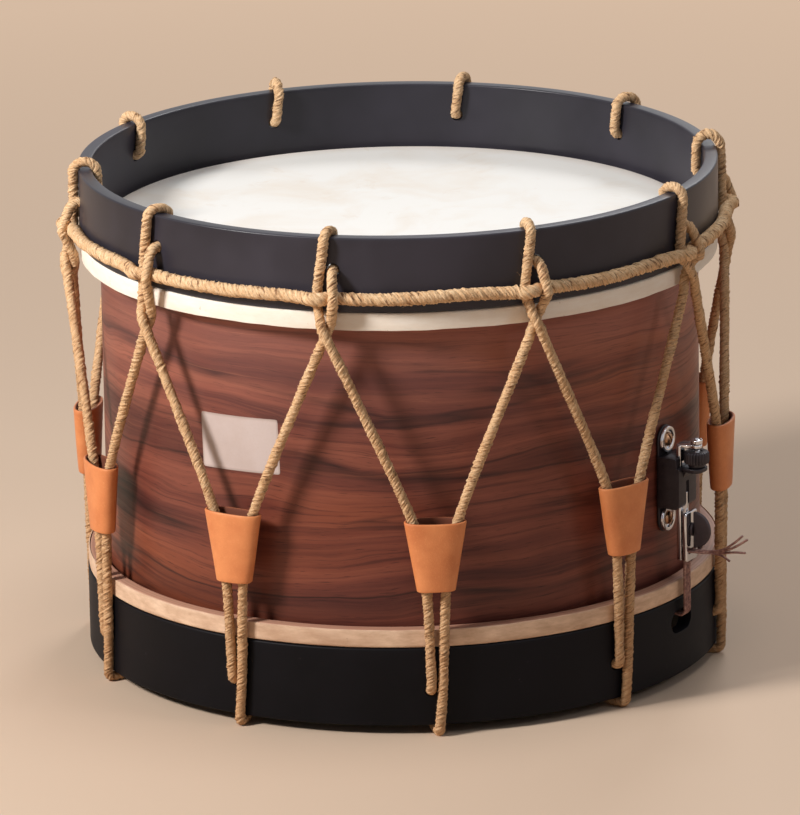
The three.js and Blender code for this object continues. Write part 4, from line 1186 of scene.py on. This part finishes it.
def capsule(width, low, high, steps=12):
    """An upright slot shape, centred across, from its lowest to its highest point."""
    radius = width / 2
    points = []
    for centre, start in ((high - radius, 0.0), (low + radius, pi)):
        for i in range(steps + 1):
            t = start + pi * i / steps
            points.append((radius * cos(t), centre + radius * sin(t)))
    return points


def half_round(centre, radius, steps):
    """Points from below a centre, outwards round it, to above it."""
    arc = [-pi / 2 + pi * i / steps for i in range(steps + 1)]
    return [(centre[0] + radius * cos(t), centre[1] + radius * sin(t)) for t in arc]


def bar(half_width, low, high, back, front, corner=0.0, bevel=0.0):
    """An upright bar, centred across, from low to high and from back to front."""
    corners = [(-half_width, low), (half_width, low), (half_width, high), (-half_width, high)]
    return prism(round_profile(corners, [corner] * 4, 4), "x", back, front, bevel)


PLATE_WIDTH = 17.0
PLATE_BACK = SHELL_R + CLEARANCE
PLATE_FRONT = PLATE_BACK + 1.6
CUP_BACK = PLATE_FRONT + CLEARANCE
CUP_R = 8.0
CUP_BORE_R = 5.5
CUP_HEIGHT = 2.2
CUP_FLOOR = 0.6
SCREW_HEAD_R = 4.2
SCREW_HEAD_HEIGHT = 2.6
SCREW_SHANK_R = 1.8
SCREW_TIP = PLATE_BACK - 5.2
SCREW_SLOT = 0.55
BODY_BACK = PLATE_FRONT + CLEARANCE
SLIDE_BACK = BODY_BACK + 9.3
SLIDE_FRONT = SLIDE_BACK + 3
BODY_FRONT = SLIDE_FRONT + 1.9
BODY_WIDTH = 21.0
SLIDE_WIDTH = 10.0
STUD_R = SLIDE_FRONT + 8
SHELF_ROOT_R = SLIDE_FRONT + 0.8
SHELF_END = STUD_R + 5.5
SHELF_WIDTH = 14.0
SHELF_THICKNESS = 2.5
SHELF_ROOT = 4.5
WINDOW_WIDTH = 3.4
WINDOW_MARGIN = 2.0
FLANGE_THICKNESS = 2.4
FLANGE_EYE_R = 3.4
THREAD_R = 2.0
THREAD_DEPTH = 0.35
THREAD_PITCH = 1.0
LOCKNUT_ACROSS = 3.5
LOCKNUT_HEIGHT = 2.8
KNOB_R = 7.5
KNOB_TEETH = 24
KNOB_TOOTH = 0.6
KNOB_NECK = 2.0
SNARE_R = 0.8
SNARE_RUN = SLIDE_FRONT + CLEARANCE + SNARE_R
CLAMP_BACK = SNARE_RUN + SNARE_R + CLEARANCE
CLAMP_FRONT = CLAMP_BACK + 2.4
CLAMP_WIDTH = 14.0
EYE_SIZE = (9.6, 3.2)
WING_R = 11.0
WING_THICKNESS = 2.6
WING_SHAFT_R = 1.5
HUB_R = 4.0
HUB_LENGTH = 1.4
BUTT_WIDTH = 18.0
BUTT_SCREW_ACROSS = 5.8
BUTT_SCREW_SHANK_R = 1.3
BUTT_SCREW_HEAD_R = 3.0
BUTT_SCREW_HEAD_HEIGHT = 2.2
SNARE_TRAVEL = 7.0

PLATE_LOW, PLATE_HIGH, _ = levels("strainer_base_plate")
BODY_LOW, BODY_HIGH, _ = levels("strainer_body")
SLIDE_LOW, SLIDE_HIGH, _ = levels("snare_slide")
STUD_LOW, STUD_HIGH, _ = levels("tension_stud")
KNOB_LOW, KNOB_HIGH, _ = levels("tension_nut")
CLAMP_LOW, CLAMP_HIGH, _ = levels("snare_clamp_plate")
CLAMP_SCREW_Z = sum(levels("snare_clamp_screw")[:2]) / 2
BUTT_LOW, BUTT_HIGH, _ = levels("butt_bracket")
BUTT_BLOCK_LOW, BUTT_BLOCK_HIGH, _ = levels("butt_clamp_plate")
EYE_Z = CLAMP_LOW + 6
SHELF_TOP = KNOB_LOW - CLEARANCE
SHELF_BOTTOM = SHELF_TOP - SHELF_THICKNESS
WINDOW_TOP = SHELF_BOTTOM - SHELF_ROOT - WINDOW_MARGIN
RIB_TOP = WINDOW_TOP - SNARE_TRAVEL - CLEARANCE


def screw(z, across, back, shank, head, height, tip, slot_turn):
    """A slotted screw that points to the drum's axis."""
    dome = [(1.0, 0.0), (1.0, 0.12), (0.96, 0.34), (0.84, 0.62), (0.62, 0.86), (0.35, 0.97)]
    profile = [(AXIS_R, tip - back), (shank, tip - back), (shank, 0.0)]
    profile += [(head * out, height * up) for out, up in dome] + [(AXIS_R, height)]
    reach = head * 1.2
    c, s = cos(radians(slot_turn)), sin(radians(slot_turn))
    outline = [
        (across + a * c - b * s, z + a * s + b * c)
        for a, b in ((-SCREW_SLOT, -reach), (SCREW_SLOT, -reach), (SCREW_SLOT, reach), (-SCREW_SLOT, reach))
    ]
    cutter = prism(outline, "x", back + height * 0.5, back + height * 1.5)
    return carved(turned(profile, (back, across, z), "x", 48), cutter)


def mount_screw(z, back, slot_turn):
    return screw(z, 0.0, back, SCREW_SHANK_R, SCREW_HEAD_R, SCREW_HEAD_HEIGHT, SCREW_TIP, slot_turn)


def build_base_plate():
    """The plate, and a rolled cup washer and a domed screw at each of its ends."""
    plate = prism(capsule(PLATE_WIDTH, PLATE_LOW, PLATE_HIGH), "x", PLATE_BACK, PLATE_FRONT, 0.5)
    fitting("strainer_plate", "strainer_base_plate", BLACK, plate)
    bore = SCREW_SHANK_R + CLEARANCE
    wall = [
        (bore, 0.0), (CUP_R - 0.3, 0.0), (CUP_R, 0.3), (CUP_R, CUP_HEIGHT - 0.8),
        (CUP_R - 0.4, CUP_HEIGHT - 0.2), ((CUP_R + CUP_BORE_R) / 2, CUP_HEIGHT),
        (CUP_BORE_R + 0.35, CUP_HEIGHT - 0.25), (CUP_BORE_R, CUP_HEIGHT - 0.8),
        (CUP_BORE_R - 0.3, CUP_FLOOR), (bore, CUP_FLOOR),
    ]
    for end, slot_turn in (("upper", 24), ("lower", -38)):
        z = sum(levels(f"strainer_cup_{end}")[:2]) / 2
        fitting(f"rolled_cup_{end}", f"strainer_cup_{end}", CHROME, turned(wall, (CUP_BACK, 0.0, z), "x"))
        name = f"strainer_screw_{end}"
        fitting(name + "_domed", name, BRONZE, mount_screw(z, CUP_BACK + CUP_FLOOR + CLEARANCE, slot_turn))


def build_strainer_body():
    side = round_profile([
        (BODY_BACK, BODY_LOW), (BODY_FRONT, BODY_LOW), (BODY_FRONT, SHELF_TOP), (SLIDE_FRONT, SHELF_TOP),
        (SLIDE_FRONT, BODY_HIGH), (BODY_BACK, BODY_HIGH),
    ], [0.6, 3.2, 1.0, 0.3, 1.6, 0.6], 4)
    casting = prism(side, "y", -BODY_WIDTH / 2, BODY_WIDTH / 2, 1.5)
    gap = SLIDE_WIDTH / 2 + CLEARANCE
    groove = bar(gap, BODY_LOW - 1, BODY_HIGH + 1, SLIDE_BACK - CLEARANCE, SLIDE_FRONT + CLEARANCE)
    window = bar(WINDOW_WIDTH / 2, BODY_LOW - 1, WINDOW_TOP, SLIDE_FRONT, BODY_FRONT + 1, 0.6)
    half = SHELF_WIDTH / 2
    plan = [(SHELF_ROOT_R, -half), (SHELF_END, -half), (SHELF_END, half), (SHELF_ROOT_R, half)]
    shelf = prism(round_profile(plan, [0, 5, 5, 0], 8), "z", SHELF_BOTTOM, SHELF_TOP, 0.5)
    root, top = SHELF_BOTTOM - SHELF_ROOT, SHELF_BOTTOM + 0.4
    web = prism(
        [(SHELF_ROOT_R, root), (BODY_FRONT - 0.3, root), (STUD_R - 4, top), (SHELF_ROOT_R, top)],
        "y", -half + 1.5, half - 1.5, 0.35,
    )
    fitting("strainer_casting", "strainer_body", BLACK, carved(casting, groove, window), shelf, web)


def build_slide():
    half = SLIDE_WIDTH / 2
    plate = bar(half, SLIDE_LOW, SLIDE_HIGH - 0.6, SLIDE_BACK, SLIDE_FRONT, 1.0, 0.4)
    tongue = [(SLIDE_BACK, -half), *half_round((STUD_R, 0.0), FLANGE_EYE_R, 24), (SLIDE_BACK, half)]
    flange = prism(tongue, "z", SLIDE_HIGH - FLANGE_THICKNESS, SLIDE_HIGH, 0.6)
    rib = bar(WINDOW_WIDTH / 2 - CLEARANCE, SLIDE_LOW, RIB_TOP, SLIDE_FRONT - 0.5, BODY_FRONT - 0.4, 0.8, 0.3)
    fitting("slide_bar", "snare_slide", CHROME, plate, flange, rib)


def build_stud():
    """The threaded stud, and the locknut that holds it on the slide."""
    root = THREAD_R - THREAD_DEPTH
    thread = [(AXIS_R, STUD_LOW)]
    turns = int((STUD_HIGH - STUD_LOW - 0.6) / THREAD_PITCH)
    for i in range(turns):
        z = STUD_LOW + i * THREAD_PITCH
        thread += [(root, z), (THREAD_R, z + THREAD_PITCH * 0.5)]
    thread += [(root, STUD_LOW + turns * THREAD_PITCH), (THREAD_R - 0.8, STUD_HIGH), (AXIS_R, STUD_HIGH)]
    stud = turned(thread, (STUD_R, 0.0, 0.0), "z", 32)
    corner = LOCKNUT_ACROSS / cos(pi / 6)
    hexagon = [
        (STUD_R + corner * cos(pi * k / 3), corner * sin(pi * k / 3)) for k in range(6)
    ]
    low = SLIDE_HIGH + CLEARANCE
    nut = prism(hexagon, "z", low, low + LOCKNUT_HEIGHT, 0.45)
    fitting("threaded_stud", "tension_stud", CHROME, stud, nut)


def build_knob():
    """The knurled nut, closed at the stud: rows of (inset, height, whether it is toothed)."""
    steps = KNOB_TEETH * 8
    head_low = KNOB_LOW + KNOB_NECK
    rows = [
        (-2.6, KNOB_LOW, 0), (-2.3, KNOB_LOW + 0.3, 0), (-2.3, head_low, 0), (-1.2, head_low, 0),
        (-0.3, head_low + 0.35, 1), (0.0, head_low + 1.2, 1), (0.0, KNOB_HIGH - 1.4, 1),
        (-0.35, KNOB_HIGH - 0.5, 1), (-1.3, KNOB_HIGH, 0), (-3.6, KNOB_HIGH, 0), (-4.1, KNOB_HIGH - 0.6, 0),
        (-5.2, KNOB_HIGH - 0.6, 0), (-5.2, KNOB_LOW, 0),
    ]
    solid = bmesh.new()
    loops = []
    for inset, z, toothed in rows:
        loop = []
        for i in range(steps):
            t = 2 * pi * i / steps
            tooth = KNOB_TOOTH * (0.5 - 0.5 * cos(KNOB_TEETH * t)) ** 1.6 * toothed
            radius = KNOB_R + inset - tooth - (0 if toothed else KNOB_TOOTH * 0.4)
            loop.append(solid.verts.new((STUD_R + radius * cos(t), radius * sin(t), z)))
        loops.append(loop)
    for k, m in around(len(loops)):
        for i, j in around(steps):
            solid.faces.new((loops[k][i], loops[k][j], loops[m][j], loops[m][i]))
    bmesh.ops.recalc_face_normals(solid, faces=solid.faces)
    fitting("knurled_nut", "tension_nut", BLACK, solid)


def build_clamp():
    """The plate with the eye for the snares' ends, and the half-moon wing screw on it."""
    plate = bar(CLAMP_WIDTH / 2, CLAMP_LOW, CLAMP_HIGH, CLAMP_BACK, CLAMP_FRONT, 1.8, 0.5)
    width, height = EYE_SIZE
    outline = [(across, up + EYE_Z) for up, across in capsule(height, -width / 2, width / 2, 10)]
    eye = prism(outline, "x", CLAMP_BACK - 1, CLAMP_FRONT + 1)
    fitting("clamp_plate", "snare_clamp_plate", CHROME, carved(plate, eye))
    back = CLAMP_FRONT + CLEARANCE
    hub = [
        (AXIS_R, 0), (HUB_R - 0.3, 0), (HUB_R, 0.3), (HUB_R, HUB_LENGTH - 0.4), (HUB_R - 0.4, HUB_LENGTH),
        (AXIS_R, HUB_LENGTH),
    ]
    length = back - SLIDE_BACK
    shaft = [(AXIS_R, 0), (WING_SHAFT_R, 0), (WING_SHAFT_R, length), (AXIS_R, length)]
    moon = half_round((back + HUB_LENGTH - CLEARANCE, CLAMP_SCREW_Z), WING_R, 32)
    fitting(
        "half_moon_screw", "snare_clamp_screw", STEEL, turned(hub, (back, 0, CLAMP_SCREW_Z), "x"),
        turned(shaft, (SLIDE_BACK, 0, CLAMP_SCREW_Z), "x", 32),
        prism(moon, "y", -WING_THICKNESS / 2, WING_THICKNESS / 2, 0.7),
    )


def build_butt():
    """The fixed clamp for the snares' far ends, opposite the strainer."""
    low, high = BUTT_BLOCK_LOW, BUTT_BLOCK_HIGH
    half = BUTT_WIDTH / 2
    plate = prism(capsule(PLATE_WIDTH, BUTT_LOW, BUTT_HIGH), "x", PLATE_BACK, PLATE_FRONT, 0.5)
    block = bar(half, low, high, PLATE_BACK, SLIDE_FRONT, 1.5, 0.8)
    fitting("butt_block", "butt_bracket", CHROME, plate, block)
    fitting("butt_clamp", "butt_clamp_plate", CHROME, bar(half, low, high, CLAMP_BACK, CLAMP_FRONT, 1.5, 0.5))
    for number, across, slot_turn in ((1, BUTT_SCREW_ACROSS, 12), (2, -BUTT_SCREW_ACROSS, 64)):
        made = screw(
            (low + high) / 2, across, CLAMP_FRONT + CLEARANCE, BUTT_SCREW_SHANK_R, BUTT_SCREW_HEAD_R,
            BUTT_SCREW_HEAD_HEIGHT, BODY_BACK + CLEARANCE, slot_turn,
        )
        fitting(f"butt_screw_{number}", f"butt_clamp_screw_{number}", STEEL, made)
    inset = PLATE_WIDTH / 2
    for end, z, slot_turn in (("upper", BUTT_HIGH - inset, 80), ("lower", BUTT_LOW + inset, 9)):
        name = f"butt_screw_{end}"
        fitting(name + "_domed", name, STEEL, mount_screw(z, PLATE_FRONT + CLEARANCE, slot_turn))


# Snares

SNARE_SPACING = 1.95
SNARE_LAY = 6.0
SNARE_TAPER = (30.0, 0.85)
SNARE_BED_Z = SNARE_HEAD_Z - CLEARANCE - SNARE_R
GATE_SNARE_Z = GATE_Z + GATE_HALF_HEIGHT - 2.6 - SNARE_R
GATE_BEND = 4.0
EYE_BEND = 2.4
STRETCH_LOW, STRETCH_HIGH = 50.0, 82.0
STRETCH_LEAN = 0.25

# The frayed tails, as steps outwards, upwards and across from the clamp's eye
TAILS = [
    [(8, -0.4, 1.3), (16, 0.2, 2.3), (23, -0.3, 3.0), (28.4, -3.6, 3.6)],
    [(8, 0.2, 0.3), (16, 1.0, 0.6), (24, 2.6, 0.8), (31, 7.6, 0.9), (37.4, 13.5, 0.8)],
    [(8, 0.5, -0.7), (16, 0.5, -1.0), (24, 1.8, -1.1), (32, 5.6, -1.0), (40.4, 11.5, -0.8)],
    [(8, -0.5, -1.7), (16, -0.2, -2.7), (24, 0.9, -3.0), (32, 2.8, -3.2), (39.4, 3.4, -3.6)],
]


def snare_route(across, tail):
    """From the tail's tip through the eye and the gate, under the head, to the butt's clamp."""
    eye = (SNARE_RUN + EYE_BEND, EYE_Z - EYE_BEND)
    gate = (SNARE_RUN - GATE_BEND, GATE_SNARE_Z + GATE_BEND)
    near, far = (
        [*bend(azimuth, gate, GATE_BEND, (0, -78), (side, side)), at(azimuth, SHELL_R - 5, side, SNARE_BED_Z)]
        for azimuth, side in ((STRAINER_AZIMUTH, across), (SEAM_AZIMUTH, -across))
    )
    return [
        *[at(STRAINER_AZIMUTH, SNARE_RUN + out, across + drift, EYE_Z + up) for out, up, drift in tail[::-1]],
        *bend(STRAINER_AZIMUTH, eye, EYE_BEND, (90, 180), (across, across)), *near, *reversed(far),
        at(SEAM_AZIMUTH, SNARE_RUN, -across, BUTT_BLOCK_HIGH + 2.5),
    ]


def build_snares():
    """The four snares, which stand in for their CAD nodes. The line from start to end, which nothing here
    uses, leans outwards, so that the far ends, which are as high, stay below its start."""
    rise = (STRETCH_HIGH - STRETCH_LOW) / (1 + STRETCH_LEAN ** 2)
    start = at(STRAINER_AZIMUTH, SNARE_RUN, 0, STRETCH_LOW) * MM
    end = at(STRAINER_AZIMUTH, SNARE_RUN + rise * STRETCH_LEAN, 0, STRETCH_LOW + rise) * MM
    for k, tail in enumerate(TAILS):
        route = snare_route((k - 1.5) * SNARE_SPACING, tail)
        verts, faces, uvs, _ = rope_mesh([route], SNARE_R, SNARE_LAY, hairs=0, taper=SNARE_TAPER)
        snare = make_object(f"gut_snare_{k + 1}", verts, faces, GUT, uvs)
        dress(snare, f"snare_{k + 1}", ride=False)
        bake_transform(snare)


# The paper label has no print

LABEL_AZIMUTH = -136.6
LABEL_Z = 167.0
LABEL_HALF = (26.5, 16.5)
LABEL_CORNER = 1.2
LABEL_TILT = radians(2.0)
LABEL_LAYERS = (0.03, 0.17)
LABEL_CELLS = (36, 20)


def label_point(u, v, layer):
    """A point of the label, its corners rounded, tilted and bent round the shell."""
    inner = [half - LABEL_CORNER for half in LABEL_HALF]
    past = [max(abs(value) - edge, 0) / LABEL_CORNER for value, edge in zip((u, v), inner)]
    if hypot(*past) > 1:
        u, v = (
            copysign(edge + over / hypot(*past) * LABEL_CORNER, value)
            for value, edge, over in zip((u, v), inner, past)
        )
    along = u * cos(LABEL_TILT) - v * sin(LABEL_TILT)
    up = u * sin(LABEL_TILT) + v * cos(LABEL_TILT)
    return at(LABEL_AZIMUTH + degrees(along / SHELL_R), SHELL_R + layer, 0, LABEL_Z + up)


def build_label():
    columns, rows = LABEL_CELLS
    verts, faces, edge_shade = [], [], []
    for layer in LABEL_LAYERS:
        for j in range(rows + 1):
            for i in range(columns + 1):
                u, v = (i / columns - 0.5) * 2 * LABEL_HALF[0], (j / rows - 0.5) * 2 * LABEL_HALF[1]
                verts.append(label_point(u, v, layer))
                # Points on the border, which the paper's material darkens as painted shade.
                edge_shade.append(float(i in (0, columns) or j in (0, rows)))
    row = columns + 1
    front = row * (rows + 1)
    for j in range(rows):
        for i in range(columns):
            a = j * row + i
            under = (a, a + row, a + row + 1, a + 1)
            faces += [under, tuple(front + k for k in under[::-1])]
    ring = [j * row + i for i, j in border(0, columns, 0, rows)]
    faces += [(ring[i], ring[j], ring[j] + front, ring[i] + front) for i, j in around(len(ring))]
    label = make_object("paper_label", verts, faces, PAPER, sharp=40)
    store(label, "edge", edge_shade)
    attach(label, "drum")


build_base_plate()
build_strainer_body()
build_slide()
build_stud()
build_knob()
build_clamp()
build_butt()
build_snares()
build_label()


# Stage, lights and camera

FLOOR_RADIUS = 16000
FLOOR_SIDES = 96
BACKGROUND = (214, 187, 163)
WORLD_LIGHT = 0.09
WORLD_SHOWN = 0.7

# In metres: where the floor fades from and to, and what the lights face
FADE_START, FADE_END = 0.55, 1.7
LIGHT_TARGET = Vector((0, 0, 0.15))

# Name, degrees round from the camera, elevation, distance and size in metres, watts, colour
LIGHTS = [
    ("key_light", -57, 34, 2.0, 0.42, 42, (1.0, 0.98, 0.955)),
    ("side_light", 62, 30, 2.2, 0.35, 3.5, (0.93, 0.95, 1.0)),
    ("top_light", 90, 80, 2.4, 1.0, 13, (1.0, 1.0, 1.0)),
    ("rim_light", 165, 38, 2.6, 0.7, 16, (1.0, 1.0, 1.0)),
]

CAMERA_TARGET_Z = 130.0
CAMERA_ELEVATION = 16.16
CAMERA_DISTANCE = 4858.8
CAMERA_ROLL = -0.93
FOCAL_PX = 8105.9
IMAGE_WIDTH, IMAGE_HEIGHT = 800, 815
TARGET_PX = (402.1, 429.9)
SENSOR = 36.0


def floor_material():
    """Lit and shadowed near the drum; further off it fades to one even colour where it is seen."""
    m = Material("pale_floor", (208, 183, 160), 0.8)
    paths = m.node("LightPath").outputs
    seen = m.math("MAXIMUM", paths["Is Camera Ray"], paths["Is Glossy Ray"])
    seen = m.math("MAXIMUM", seen, paths["Is Transmission Ray"])
    _, radius, _ = m.cylinder()
    fade = m.math("MULTIPLY", seen, m.map(radius, FADE_START, FADE_END))
    glow = m.node("Emission", {0: BACKGROUND, 1: 1.0})
    both = m.node("MixShader", {0: fade, 1: m.shader.outputs[0], 2: glow.outputs[0]})
    below = m.node("NewGeometry").outputs["Backfacing"]
    clear = m.node("BsdfTransparent")
    sides = m.node("MixShader", {0: below, 1: both.outputs[0], 2: clear.outputs[0]})
    m.put(m.tree.nodes["Material Output"].inputs[0], sides.outputs[0])
    return m.material


def build_floor():
    verts = [at(360 * i / FLOOR_SIDES, FLOOR_RADIUS, 0, 0) for i in range(FLOOR_SIDES)]
    make_object("stage_floor", verts, [tuple(range(FLOOR_SIDES))], floor_material())


def build_world():
    """Soft light from all round, brighter in reflections. The camera sees the background's colour."""
    world = bpy.data.worlds.new("studio")
    world.use_nodes = True
    n = Nodes(world.node_tree)
    paths = n.node("LightPath").outputs
    sky = n.tree.nodes["Background"]
    sky.inputs[0].default_value = (0.98, 0.98, 1.0, 1.0)
    n.put(sky.inputs[1], n.map(paths["Is Glossy Ray"], 0.0, 1.0, WORLD_LIGHT, WORLD_SHOWN))
    wall = n.node("Background", {0: BACKGROUND})
    both = n.node("MixShader", {0: paths["Is Camera Ray"], 1: sky.outputs[0], 2: wall.outputs[0]})
    n.put(n.tree.nodes["World Output"].inputs[0], both.outputs[0])
    bpy.context.scene.world = world


def aim(obj, target, azimuth, elevation, distance):
    """Places a lamp or camera round a target, and gives the rotation that faces it."""
    a, e = radians(azimuth), radians(elevation)
    offset = Vector((cos(a) * cos(e), sin(a) * cos(e), sin(e)))
    obj.location = target + offset * distance
    return (-offset).to_track_quat("-Z", "Y")


def build_lights():
    for name, turn, elevation, distance, size, energy, color in LIGHTS:
        data = bpy.data.lights.new(name, "AREA")
        data.shape = "DISK"
        data.size = size
        data.energy = energy
        data.color = color
        lamp = link(name, data)
        facing = aim(lamp, LIGHT_TARGET, CAMERA_AZIMUTH + turn, elevation, distance)
        lamp.rotation_euler = facing.to_euler()


def build_camera():
    data = bpy.data.cameras.new("camera")
    data.sensor_width = SENSOR
    data.lens = FOCAL_PX * SENSOR / max(IMAGE_WIDTH, IMAGE_HEIGHT)
    data.clip_start, data.clip_end = 0.1, 30.0
    camera = link("camera", data)
    target = Vector((0, 0, CAMERA_TARGET_Z * MM))
    look = aim(camera, target, CAMERA_AZIMUTH, CAMERA_ELEVATION, CAMERA_DISTANCE * MM).to_matrix()
    pan = Matrix.Rotation(atan2(TARGET_PX[0] - IMAGE_WIDTH / 2, FOCAL_PX), 3, "Y")
    tilt = Matrix.Rotation(atan2(TARGET_PX[1] - IMAGE_HEIGHT / 2, FOCAL_PX), 3, "X")
    roll = Matrix.Rotation(radians(CAMERA_ROLL), 3, "Z")
    camera.rotation_euler = (look @ roll @ pan @ tilt).to_euler()
    bpy.context.scene.camera = camera


build_floor()
build_world()
build_lights()
build_camera()
bpy.context.scene.view_settings.view_transform = "Standard"
